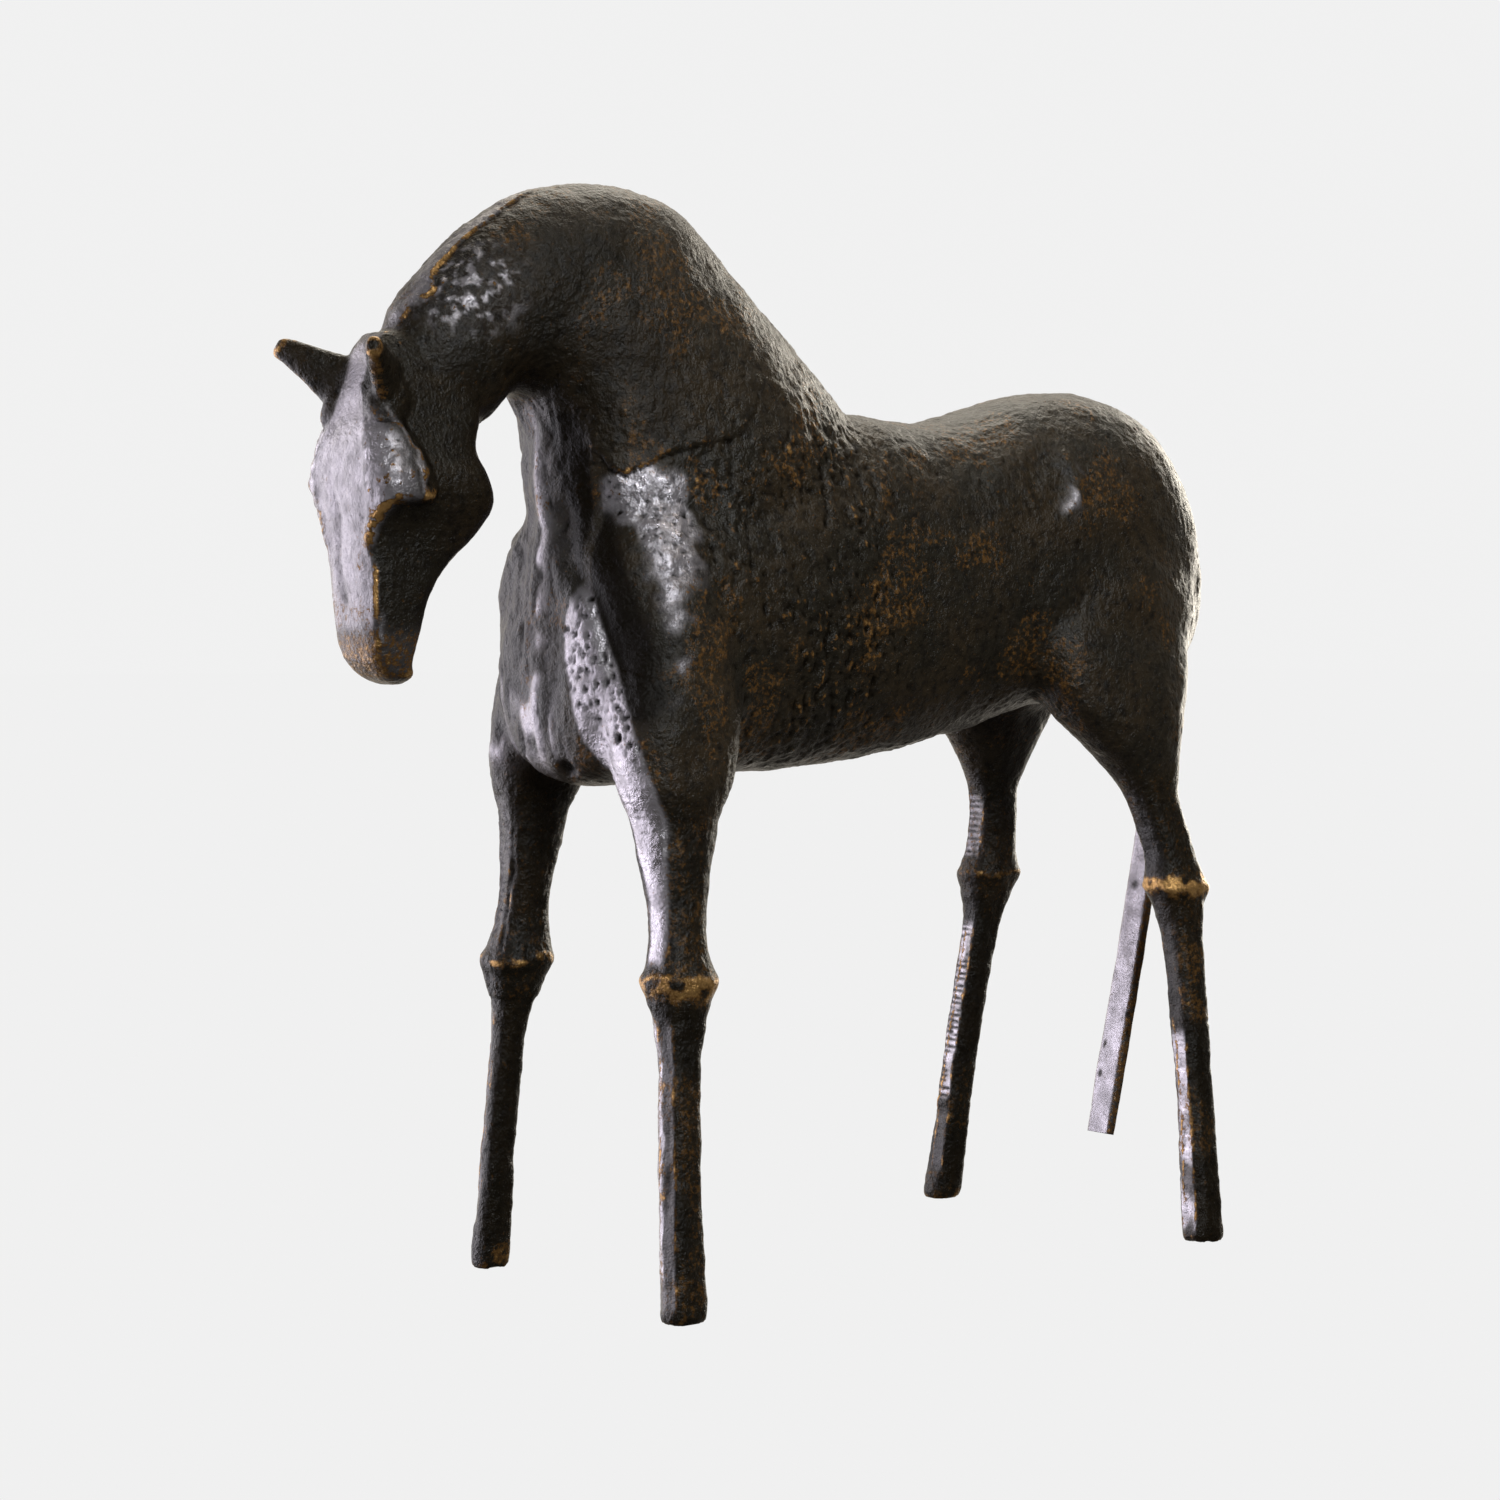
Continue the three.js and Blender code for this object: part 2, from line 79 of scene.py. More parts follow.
# Head: z, front y, back y, half width.
HEAD = [
    (394, -236, -217, 10), (388, -241, -208, 15), (376, -245, -199, 19), (362, -247.5, -196, 21.5),
    (348, -252, -199.5, 25), (336, -252.5, -195.5, 29), (326, -251.5, -192.5, 27), (315, -250, -199, 22),
    (303, -249, -210, 19), (290, -248, -218.6, 18), (276, -247, -222.5, 16.5), (265, -244.5, -225, 14.5),
    (258, -238, -225.5, 11), (255, -232, -227, 5),
]
# Leg sections: z, half width, half depth.
FORE = [
    (0, 6.6, 7.6), (3, 7.6, 8.6), (12, 7.8, 8.8), (40, 7.2, 8), (75, 7.2, 7.9), (100, 7.3, 8),
    (110, 7.8, 8.7), (118, 9, 10), (125, 11.2, 12.3), (133, 13.4, 15.2), (139, 12.6, 13.6), (148, 10.8, 11.6),
    (160, 10.2, 11.2), (172, 10.8, 12.4), (186, 12.2, 15), (200, 15, 18.6), (212, 17.5, 23),
    (232, 18.5, 27.5), (256, 17, 27), (268, 12, 20),
]
HIND = [
    (0, 6.8, 8.2), (3, 7.8, 9.2), (12, 7.8, 8.8), (40, 7.2, 8), (80, 7.3, 8.1), (120, 7.6, 8.4),
    (138, 8.2, 9.2), (148, 9.8, 11.4), (158, 11.8, 15), (164, 11.4, 14.4), (174, 10.2, 11.6),
    (188, 10.4, 11.8), (202, 11.6, 14), (216, 14.4, 19.5), (230, 18, 28), (246, 21, 38),
    (266, 22, 44), (290, 20, 40),
]
# Legs: axis points, section table, knee level, hip level, stoutness below the knee and above it.
LEGS = {
    "left_fore": ([(69.5, -136.8, 0), (62.5, -133.6, 75), (56.5, -129, 133), (50.5, -127, 190),
                   (44, -123, 268)], FORE, 119, 206, 1.04, 1.04),
    "right_fore": ([(-70, -139.6, 0), (-63, -137.4, 75), (-57, -133.6, 133), (-51, -130, 190),
                    (-45, -124, 268)], FORE, 119, 206, 0.9, 0.88),
    "left_hind": ([(77.5, 150.3, 0), (67, 153, 85), (57.5, 152, 160), (51.5, 140, 205), (45, 124, 246),
                   (38, 124, 290)], HIND, 148, 224, 1.0, 1.0),
    "right_hind": ([(-77.3, 127.5, 0), (-67, 132.6, 85), (-57.5, 140, 160), (-52, 137.6, 205),
                    (-45, 131, 246), (-38, 128, 290)], HIND, 148, 224, 0.97, 0.95),
}
SEAM_Z = 98.5  # where the foot section is joined to the left hind cannon
# Ear: x, y, z, half breadth, half thickness.
EAR = [
    (8, -231, 367, 13, 7), (14, -238, 371, 13, 6), (20, -243, 375.5, 10.5, 5), (27, -250, 381, 7.4, 4.3),
    (33, -255, 385, 5.4, 3.8), (37, -258.5, 387, 4, 3), (38.3, -259.6, 387.8, 2, 1.6),
]
# Tail: y, z, half width, half thickness.
TAIL = [
    (199, 322, 5, 3.4), (205, 306, 6.4, 3), (205.5, 270, 7, 2.7), (201, 225, 7.3, 2.6), (190, 172, 7.6, 2.6),
    (178, 115, 7.6, 2.6), (167, 68, 7.8, 2.7), (160.5, 38, 7.4, 2.6),
]


# ---------------- mesh building
X, Y, Z = np.eye(3)


def side_of(leg_name):
    """1 for a left leg, -1 for a right one."""
    return 1 if leg_name.startswith("left") else -1


def refine(rows, steps):
    """The table with every column carried through its rows by a Catmull-Rom curve."""
    t_rows = np.array(rows, float)
    n = len(t_rows)
    out = []
    for i in range(n - 1):
        a, b, c, d = t_rows[max(i - 1, 0)], t_rows[i], t_rows[i + 1], t_rows[min(i + 2, n - 1)]
        for s in range(steps):
            t = s / steps
            out.append(0.5 * (2 * b + (c - a) * t + (2 * a - 5 * b + 4 * c - d) * t**2
                              + (3 * b - a - 3 * c + d) * t**3))
    out.append(t_rows[-1])
    return np.array(out)


def ring(centre, u, v, half_u, half_v, squareness, sides):
    """A rounded outline in the plane of u and v: squareness 2 is an ellipse, more is boxier."""
    a = 2 * np.pi * (np.arange(sides) + 0.5) / sides
    cu, sv = np.cos(a), np.sin(a)
    cu = np.sign(cu) * np.abs(cu) ** (2 / squareness)
    sv = np.sign(sv) * np.abs(sv) ** (2 / squareness)
    return np.array(centre) + np.outer(half_u * cu, u) + np.outer(half_v * sv, v)


def loft(rings):
    """A closed body through a row of outlines, with a cone of triangles over each end."""
    rings = np.array(rings)
    k, m = rings.shape[:2]
    verts = np.vstack([rings.reshape(-1, 3), rings[0].mean(0), rings[-1].mean(0)])
    i = np.arange(m)
    j = (i + 1) % m
    quads = [np.stack([r * m + i, r * m + j, (r + 1) * m + j, (r + 1) * m + i], 1) for r in range(k - 1)]
    last = (k - 1) * m
    first_cap = [(k * m, b, a) for a, b in zip(i, j)]
    last_cap = [(k * m + 1, last + a, last + b) for a, b in zip(i, j)]
    return verts, [tuple(q) for q in np.vstack(quads)] + first_cap + last_cap


def unit(v):
    return np.array(v, float) / np.linalg.norm(v)


def barrel():
    rows = refine(BARREL, 5)
    return loft([ring((0, y, (t + b) / 2), X, Z, w, (t - b) / 2, 2.35, 96) for y, t, b, w in rows])


def neck():
    rings = []
    for cy, cz, uy, uz, w in refine(NECK, 8):
        crest, under = np.array([0, cy, cz]), np.array([0, uy, uz])
        along = unit(crest - under)
        rings.append(ring((crest + under) / 2, along, X, np.linalg.norm(crest - under) / 2, w, 2.15, 80))
    return loft(rings)


def head():
    rows = refine(HEAD, 6)
    return loft([ring((0, (f + b) / 2, z), X, Y, w, (b - f) / 2, 4.5, 80) for z, f, b, w in rows])


def axis_at(axis, z):
    """The point of a leg's curved axis at height z."""
    dense = refine(axis, 40)
    return np.array([np.interp(z, dense[:, 2], dense[:, k]) for k in range(3)])


def leg(name, top=None, shrink_from=None):
    """One leg, whole, or cut off at top and drawn in by 2.2 mm over the 25 mm above shrink_from."""
    axis, table, knee, hip, cannon, thigh = LEGS[name]
    rings = []
    for z, hx, hy in refine(table, 5):
        if top is not None and z > top:
            break
        reach = min(1, max(0, (z - knee - 30) / 40))
        stout = cannon if z < knee else 1 + (thigh - 1) * reach
        cut = 0 if shrink_from is None else 2.2 * min(1, max(0, (z - shrink_from) / 25))
        squareness = 3.0 if z < knee else 2.6
        rings.append(ring(axis_at(axis, z), X, Y, hx * stout - cut, hy * stout - cut, squareness, 56))
    return loft(rings)


def ear(side):
    rows = refine(EAR, 6)
    run = unit([side * (rows[-1][0] - rows[0][0]), rows[-1][1] - rows[0][1], 20])
    broad = unit(Z - run * run[2])
    thick = np.cross(run, broad)
    rings = []
    for i, (x, y, z, half, thin) in enumerate(rows):
        lift = -side * 3 * i / (len(rows) - 1)
        rings.append(ring((side * x, y, z + lift), broad, thick, half, thin, 2.2, 40))
    return loft(rings)


def ellipsoid(centre, radii):
    levels, sides = 24, 32
    rings = []
    for a in np.linspace(-0.995, 0.995, levels):
        r = math.sqrt(1 - a * a)
        rings.append(ring((0, 0, a), X, Y, r, r, 2, sides))
    verts, faces = loft(rings)
    return verts * radii + centre, faces


def joined(parts):
    """Several bodies as one list of points and faces."""
    verts, faces, at = [], [], 0
    for v, f in parts:
        verts.append(v)
        faces += [tuple(int(i) + at for i in q) for q in f]
        at += len(v)
    return np.vstack(verts), faces


def to_mesh(name, verts, faces):
    me = bpy.data.meshes.new(name)
    me.from_pydata([tuple(v) for v in (verts + OFFSET) * MM], [], faces)
    me.update()
    return me


def placed(name, data):
    """A new object in the scene."""
    ob = bpy.data.objects.new(name, data)
    scene.collection.objects.link(ob)
    return ob


def points(me):
    """A mesh's points, in the castings' millimetres."""
    co = np.empty(len(me.vertices) * 3)
    me.vertices.foreach_get("co", co)
    return co.reshape(-1, 3) / MM - OFFSET


def remeshed(verts, faces, voxel):
    """The outer skin of overlapping closed bodies, as an even quad mesh: (points, quads)."""
    ob = placed("fusing", to_mesh("fusing", verts, faces))
    mod = ob.modifiers.new("fuse", "REMESH")
    mod.mode = "VOXEL"
    mod.voxel_size = voxel * MM
    mod.adaptivity = 0.0
    done = bpy.data.meshes.new_from_object(ob.evaluated_get(bpy.context.evaluated_depsgraph_get()))
    bpy.data.objects.remove(ob)
    corners = np.empty(len(done.loops), int)
    done.loops.foreach_get("vertex_index", corners)
    if any(len(face.vertices) != 4 for face in done.polygons):
        raise RuntimeError("the voxel mesh isn't all quads")
    return points(done), corners.reshape(-1, 4)


class Skin:
    """A quad mesh as arrays, with smoothing and normals."""

    def __init__(self, p, q):
        self.p, self.q = p, q
        e = np.vstack([q[:, [0, 1]], q[:, [1, 2]], q[:, [2, 3]], q[:, [3, 0]]])
        e = np.unique(np.sort(e, 1), axis=0)
        self.a, self.b = e[:, 0], e[:, 1]
        n = len(p)
        self.count = np.bincount(self.a, minlength=n) + np.bincount(self.b, minlength=n)

    def mean(self, f):
        """Each vertex's average over its neighbours."""
        n = len(self.p)
        if f.ndim == 1:
            return (np.bincount(self.a, f[self.b], n) + np.bincount(self.b, f[self.a], n)) / self.count
        return np.stack([self.mean(f[:, k]) for k in range(f.shape[1])], 1)

    def smooth(self, steps, weight=1.0, shrink_free=True):
        w = np.broadcast_to(weight, len(self.p))[:, None]
        for _ in range(steps):
            self.p = self.p + 0.5 * w * (self.mean(self.p) - self.p)
            if shrink_free:
                self.p = self.p - 0.52 * w * (self.mean(self.p) - self.p)

    def blur(self, f, steps):
        for _ in range(steps):
            f = 0.5 * f + 0.5 * self.mean(f)
        return f

    def normals(self):
        p, q = self.p, self.q
        fn = np.cross(p[q[:, 2]] - p[q[:, 0]], p[q[:, 3]] - p[q[:, 1]])
        n = np.zeros_like(p)
        for k in range(4):
            for c in range(3):
                n[:, c] += np.bincount(q[:, k], fn[:, c], len(p))
        return n / np.maximum(np.linalg.norm(n, axis=1), 1e-12)[:, None]


# ---------------- noise
GRAD = rng.normal(size=(256, 3))
GRAD /= np.linalg.norm(GRAD, axis=1)[:, None]
JITTER = rng.random((256, 4))
PERM = rng.permutation(256)


def hashed(i, seed):
    return PERM[(PERM[(PERM[(i[..., 0] + seed) & 255] + i[..., 1]) & 255] + i[..., 2]) & 255]


def noise(p, size, seed=0, stretch=(1, 1, 1)):
    """Gradient noise of a given grain in millimetres, about -1 to 1."""
    s = p / (size * np.array(stretch))
    i = np.floor(s).astype(np.int64)
    f = s - i
    u = f**3 * (f * (6 * f - 15) + 10)
    total = 0
    for c in np.ndindex(2, 2, 2):
        g = GRAD[hashed(i + np.array(c), seed)]
        w = np.prod(np.where(np.array(c) == 1, u, 1 - u), axis=1)
        total = total + w * ((f - np.array(c)) * g).sum(1)
    return total * 1.6


def fbm(p, size, octaves=3, seed=0, stretch=(1, 1, 1)):
    return sum(noise(p, size / 2**k, seed + 17 * k, stretch) / 2**k for k in range(octaves))


def cells(p, size, seed=0, stretch=(1, 1, 1)):
    """Distance to the nearest scattered point in cell units, and that cell's own random number."""
    s = p / (size * np.array(stretch))
    i = np.floor(s).astype(np.int64)
    best = np.full(len(p), 9.0)
    own = np.zeros(len(p))
    for c in np.ndindex(3, 3, 3):
        cell = i + np.array(c) - 1
        h = hashed(cell, seed)
        d = np.linalg.norm(cell + JITTER[h, :3] - s, axis=1)
        near = d < best
        best = np.where(near, d, best)
        own = np.where(near, JITTER[h, 3], own)
    return best, own


def ramp(x, low, high):
    """0 below low, easing to 1 at high."""
    t = np.clip((x - low) / (high - low), 0, 1)
    return t * t * (3 - 2 * t)


def fall(x, low, high):
    """1 below low, easing to 0 at high."""
    return 1 - ramp(x, low, high)


def bell(distance, width):
    """1 at no distance, falling off as a bell curve."""
    return np.exp(-((distance / width) ** 2))


def at_least(field, value):
    """Raise a field, in place, to the value where it lies below it."""
    np.maximum(field, value, out=field)


def path_distance(p, line):
    """Distance to a polyline, and how far along it the nearest point is (0 to 1)."""
    line = np.array(line, float)
    lengths = np.linalg.norm(np.diff(line, axis=0), axis=1)
    start = np.concatenate([[0], np.cumsum(lengths)])[:-1]
    best = np.full(len(p), 1e9)
    along = np.zeros(len(p))
    for k in range(len(line) - 1):
        a, d = line[k], line[k + 1] - line[k]
        t = np.clip(((p - a) @ d) / (d @ d), 0, 1)
        dist = np.linalg.norm(p - a - t[:, None] * d, axis=1)
        near = dist < best
        best = np.where(near, dist, best)
        along = np.where(near, (start[k] + t * lengths[k]) / lengths.sum(), along)
    return best, along


# ---------------- the fused skin
# Masses of muscle: centre of the left one, radii.
SHOULDER = ((36, -121, 262), (27.5, 30, 50))
HAUNCH = ((32, 128, 287), (29, 54, 50))
EAR_ROOT = ((17, -240, 365), (7.6, 9, 10.5))
FLOW_STEPS = 44  # smoothing steps that run the torso's masses into one another
DRAWN_IN = 1.3  # how far the head and legs are drawn in, under the exact ones added next
LEG_TOP, LEG_THINS = 214, 186


def on_side(mass, side):
    (x, y, z), radii = mass
    return ellipsoid((side * x, y, z), radii)


masses = [barrel(), neck(), head(), ear(1), ear(-1)] + [leg(name) for name in LEGS]
masses += [on_side(mass, side) for side in (1, -1) for mass in (SHOULDER, HAUNCH)]
coarse = Skin(*remeshed(*joined(masses), COARSE_VOXEL))
_, y, z = coarse.p.T
torso = np.maximum(ramp(z, 196, 226) * ramp(y, -176, -160), ramp(z, 396, 408))
torso = np.maximum(torso, ramp(y, -196, -180) * ramp(z, 300, 330) * 0.8)
torso = coarse.blur(torso, 4)
coarse.smooth(FLOW_STEPS, torso)
coarse.smooth(6, torso, False)
coarse.p = coarse.p - coarse.normals() * (DRAWN_IN * (1 - torso))[:, None]

fine_parts = [(coarse.p, [tuple(f) for f in coarse.q]), head(), ear(1), ear(-1)]
fine_parts += [leg(name, LEG_TOP, LEG_THINS) for name in LEGS]
fine_parts += [on_side(EAR_ROOT, side) for side in (1, -1)]
skin = Skin(*remeshed(*joined(fine_parts), BODY_VOXEL))
_, y, z = skin.p.T
is_head = ramp(-y, 190, 200) * fall(z, 385, 400)
skin.smooth(5, np.clip(1 - 0.6 * fall(z, 190, 215) - 0.5 * is_head, 0.3, 1))
skin.smooth(2, 0.5, False)

base = skin.p.copy()
mirrored = base * [-1, 1, 1]
n = skin.normals()
x, y, z = base.T
right = ramp(-x, 2, 14)
is_leg = fall(z, 196, 222)
is_ear = ramp(np.abs(x), 17, 21) * ramp(-y, 236, 240) * ramp(z, 362, 366)
is_trunk = (1 - is_leg) * (1 - is_head) * (1 - is_ear)


def blob(centre, radii, soft):
    """1 inside an ellipsoid round a point, falling to 0 at its edge."""
    d = np.linalg.norm((base - centre) / radii, axis=1)
    return fall(d, 1 - soft, 1 + soft)


def both_blobs(centre, radii, soft):
    x, y, z = centre
    return blob(centre, radii, soft) + blob((-x, y, z), radii, soft)


def off(line):
    """Distance of the skin's points from a polyline."""
    return path_distance(base, line)[0]


def off_both(line):
    """Distance from a polyline or from its mirror image, whichever is nearer."""
    return np.minimum(off(line), path_distance(mirrored, line)[0])


def away(spot):
    """Distance of the skin's points from one point."""
    return np.linalg.norm(base - spot, axis=1)


def patchy(size, seed, low, high, stretch=(1, 1, 1)):
    """Noise of the given size in millimetres, cut to run from 0 below low to 1 above high."""
    return ramp(noise(base, size, seed, stretch), low, high)


to_front = -n[:, 1]
to_left = n[:, 0]  # the left side is the one in the photograph

# Uneven hand-worked surface, then cast grain.
warp = base + 2.5 * np.stack([noise(base, 14, seed) for seed in (5, 6, 7)], 1)
large = 0.9 * noise(base, 34, 1) + 0.6 * fbm(warp, 15, 2, 2)
height = large * (0.3 + 0.7 * is_trunk)

polish_and_sheen, gold, blackened_and_shade = np.zeros((3, len(base)))  # filed bright and painted highlight; rubbed to gold; blackened and painted shade
dull = is_trunk * 0.8
# How strongly the bark-like grain shows.
rough = is_trunk * (0.35 + 0.4 * patchy(60, 12, -0.3, 0.4)) * (1 - 0.6 * ramp(y, 60, 130))
carve = np.zeros(len(base))  # smooth shaping, before the grain

JUGULAR = [(5, -163, 366), (6.8, -159, 350), (8.8, -156, 335), (10.5, -155, 322), (17.2, -157, 305),
           (33, -156, 289), (42, -152, 268.5), (53, -151, 249), (60.5, -146, 225)]
STRIP_IN = [(25, -158, 298), (17, -158, 283), (15, -158, 274), (18, -158, 262), (22, -157, 248),
            (25, -153, 232), (31, -148, 218), (43, -145, 200), (47, -142, 184), (51, -140, 166),
            (50.8, -140.5, 144)]
STRIP_OUT = [(30, -156, 294), (39.3, -153, 272.5), (45.7, -151, 256.5), (53.5, -151, 243), (58.6, -149, 229),
             (61.4, -144.5, 213), (61.6, -140, 197), (60.5, -137.5, 176.5), (60.6, -137.6, 156.5)]
LAP = [(22, -156, 353), (27.8, -150, 349), (31.7, -145, 342), (35, -140, 339.6), (39.2, -133.5, 343),
       (42.6, -126, 347.5), (45.9, -113, 351.5), (48.4, -95, 356), (47.4, -85, 365), (45.7, -81, 374)]
SPLIT = [(7.6, -235.7, 393.8), (6.4, -228, 399), (13.4, -217, 410), (8.3, -213, 419), (8.3, -202, 430),
         (9.3, -190, 440), (7.1, -177, 449), (6, -160, 456)]
CRACKS = [[(47, -86, 368), (47.6, -87.5, 363)], [(49.9, -94, 328), (50.5, -91, 322), (53.8, -92, 311.5),
          (54.9, -91, 303), (55.5, -85, 299)]]


def x_of(line):
    """A line's x at each skin point's height, for a line whose points run downward."""
    return np.interp(-z, [-pt[2] for pt in line], [pt[0] for pt in line])


# Crease that runs from the throat down inside the left shoulder, and its smaller mirror image.
d, along = path_distance(base, JUGULAR)
thin_wall = 1 - 0.75 * ramp(z, 322, 336)  # shallower over the backing ring
carve -= 3.4 * thin_wall * bell(d, 5.5) * (1 - 0.7 * ramp(along, 0.55, 0.9))
rough *= 1 - 0.6 * bell(d, 8)
carve -= 2.0 * thin_wall * bell(path_distance(mirrored, JUGULAR)[0], 7)

HOLLOW = [(15, -158, 356), (22, -155, 335), (28, -153, 318), (35, -152, 300), (44, -150, 280),
          (55, -148, 255), (62, -144, 232)]
d, along = path_distance(base, HOLLOW)
hollow = bell(d, 10.5) * fall(along, 0.85, 1.0)
carve -= 1.3 * thin_wall * hollow
# The hollow is painted near black: painted shade in the groove.
at_least(blackened_and_shade, 0.95 * np.clip(1.8 * hollow, 0, 1))

# Planed strip down the inner front of the left foreleg, pitted at the top and scraped below.
from_outer_edge = x_of(STRIP_OUT) - x
strip = ramp(x - x_of(STRIP_IN), -1.0, 1.5) * ramp(from_outer_edge, -1.0, 1.5)
blackened_and_shade *= 1 - strip
strip *= ramp(-y, 128, 136) * ramp(z, 140, 146) * fall(z, 284, 298) * ramp(to_front, 0.1, 0.4)
pit_d, pit_own = cells(base, 2.9, 41, (1, 1, 1.2))
pitted = strip * ramp(z - 0.9 * (from_outer_edge - 8), 222, 234)
pit_core = pitted * fall(pit_d, 0.22, 0.52) * (pit_own > 0.12)
carve -= 1.1 * pit_core
at_least(blackened_and_shade, 0.85 * pit_core)
scraped = strip * fall(z, 232, 246)
carve -= scraped * 0.2 * (np.sin(z * 2.2 + 1.5 * noise(base, 9, 44)) > 0.55)
SCRIBED = [(28, -157, 250), (33, -153, 238), (39.5, -150, 222), (50, -148.6, 208.5),
           (52.5, -145.5, 200.5), (53.5, -144, 193)]
carve -= 0.5 * strip * bell(off(SCRIBED), 0.8) * patchy(11, 45, -0.4, 0.0)
hole = np.exp(-((away((47.7, -153, 233.4)) / 2.3) ** 4))  # in the strip
vent = np.exp(-((away((9.5, -151.5, 219.5)) / 4.8) ** 4))  # under the chest
carve -= 2.0 * hole + 2.6 * vent
# Both holes are painted black: painted shade inside them.
at_least(blackened_and_shade, np.maximum(hole, vent))
# The strip is filed and painted bright: a painted highlight.
at_least(polish_and_sheen, strip * (1.1 - 0.2 * ramp(z, 226, 240)))
rough *= 1 - strip

# Chest: lobes of metal that ran down the front.
chest = ramp(to_front, 0.3, 0.75) * ramp(-y, 138, 150) * ramp(z, 212, 226) * fall(z, 372, 385)
chest *= (1 - is_head) * fall(x, 10, 18)
flow = noise(np.stack([x, y * 0.3, z * 0.45 + 4 * noise(base, 20, 51)], 1), 8, 52)
carve += chest * (1.5 * np.abs(flow) ** 0.8 - 0.4)
# lit marks the keel and the lower lobes, which are painted bright: a painted highlight on the flows.
lit = bell(x + 1, 5) + ramp(-z, -262, -250) * (0.4 + 0.6 * patchy(13, 54, -0.1, 0.3))
at_least(polish_and_sheen, chest * (0.08 + 0.66 * np.clip(lit, 0, 1) * ramp(flow, -0.25, 0.3)))
rough *= 1 - 0.8 * chest
keel = bell(x + 3 + 4 * noise(base, 40, 53), 7) * ramp(-y, 145, 152) * ramp(z, 222, 250) * fall(z, 345, 365)
carve += 1.6 * keel * (1 - is_head)

# Shoulder: the neck's metal laps over the shoulder's, and a smooth patch under the lap is painted bright: a
# painted highlight.
d, along = path_distance(base, LAP)
lap_zone = fall(d, 9, 22) * ramp(along, 0.0, 0.08) * fall(along, 0.9, 1.0) * ramp(x, 15, 22)
above_lap = z > np.interp(y, [pt[1] for pt in LAP], [pt[2] for pt in LAP])
carve += 0.9 * lap_zone * np.where(above_lap, 1, -0.5) * np.exp(-d / 7)
carve -= 0.45 * bell(d, 1.0) * ramp(x, 15, 22) * patchy(12, 60, -0.5, -0.1)
SHOULDER_RIDGE = [(36, -140, 334), (43, -128, 330), (47, -127, 312), (50, -127, 292), (53, -130, 270),
                  (56, -133, 240)]
d, along = path_distance(base, SHOULDER_RIDGE)
carve += 2.2 * bell(d, 11) * ramp(x, 22, 34)
reach = 12 - 6 * ramp(along, 0.2, 0.9)  # half width of the patch, narrowing downward
patch = fall(d + 5 * noise(base, 9, 61), reach - 4, reach + 2) * ramp(x, 25, 32)
patch *= (1 - 0.55 * ramp(along, 0.7, 1.0)) * (1 - above_lap)
blackened_and_shade *= 1 - patch
dull *= 1 - patch
carve += patch * (0.50 * fbm(warp, 7.0, 2, 62, (1, 1, 0.6)) + 0.34 * fbm(base, 2.8, 2, 63))
pit_d, pit_own = cells(base, 3.0, 65)
carve -= patch * 0.5 * fall(pit_d, 0.15, 0.42) * (pit_own > 0.35)
at_least(blackened_and_shade, 0.8 * patch * fall(pit_d, 0.15, 0.42) * (pit_own > 0.35))
# The patch's bright filed colour is a painted highlight.
at_least(polish_and_sheen, 1.1 * patch * (0.5 + 0.5 * ramp(fbm(base, 3.6, 3, 64), -0.35, 0.35)))
rough *= 1 - 0.5 * patch

# Upper neck: lumps, with painted highlights on them.
lumps = blob((20, -205, 412), (14, 22, 17), 0.5)
carve += lumps * (0.60 * fbm(warp, 3.6, 3, 66) + 0.5 * noise(base, 11, 67))
at_least(polish_and_sheen, 0.9 * lumps * (0.06 + 0.94 * ramp(fbm(warp, 4.2, 3, 68), 0.0, 0.5)))
dull *= 1 - lumps

# Crest: an open edge where the two sides of the neck were dressed together.
d, along = path_distance(base, SPLIT)
split_x = np.interp(y, [pt[1] for pt in SPLIT], [pt[0] for pt in SPLIT])
step_zone = fall(d, 5, 16) * ramp(along, 0.0, 0.06) * fall(along, 0.85, 1.0)
carve += 0.8 * step_zone * np.where(x < split_x, 1, -0.35) * np.exp(-d / 8)
at_least(gold, 0.95 * bell(d, 1.3) * patchy(11, 69, -0.25, 0.15) * fall(z, 425, 448))
# The dressed band left of the split is filed and painted lighter: a painted highlight.
at_least(polish_and_sheen, 0.42 * step_zone * (x < split_x) * ramp(z, 392, 400))

# Cracks, and on the left hip a dent with a raised edge behind it, painted bright as a highlight, and a few
# small pits below.
for line in CRACKS:
    carve -= 0.8 * bell(off(line), 1.1)
HIP_EDGE = [(46, 91, 356), (51, 94, 346), (53, 93, 335), (53, 88, 331)]
HIP_WRINKLE = [(40, 72, 357), (47, 68, 350), (49, 67, 340), (49, 70, 333)]
HIP_PITS = [((52.7, 77, 293), 3, 0.6), ((51, 71, 285), 2.5, 0.5), ((54, 95, 292), 3, 0.5),
            ((50, -8, 275), 4, 0.5)]  # place, width, depth
dent = blob((48, 80, 344), (16, 11, 14), 0.45)
dull *= 1 - dent
at_least(dull, 0.5 * dent)
carve -= 1.5 * dent * (1 + 0.5 * noise(base, 10, 73))
rough *= 1 - 0.4 * dent
hip_edge = bell(off(HIP_EDGE), 3.0)
carve += hip_edge  # stands 1 mm proud
# Painted highlight along the edge.
at_least(polish_and_sheen, 0.9 * hip_edge * patchy(9, 74, -0.2, 0.2) * fall(z, 346, 354))
carve += 0.7 * bell(off(HIP_WRINKLE), 1.8)
for spot, width, depth in HIP_PITS:
    carve -= depth * bell(away(spot), width)

# Withers: wrinkles across the dip behind the neck.
leaning = base @ [[1, 0, 0], [0, 1, 0.6], [0, -0.6, 1]]
wither = both_blobs((30, -4, 360), (26, 24, 17), 0.5)
carve += 0.6 * wither * noise(leaning, 7, 71, (1.8, 0.7, 1.8))

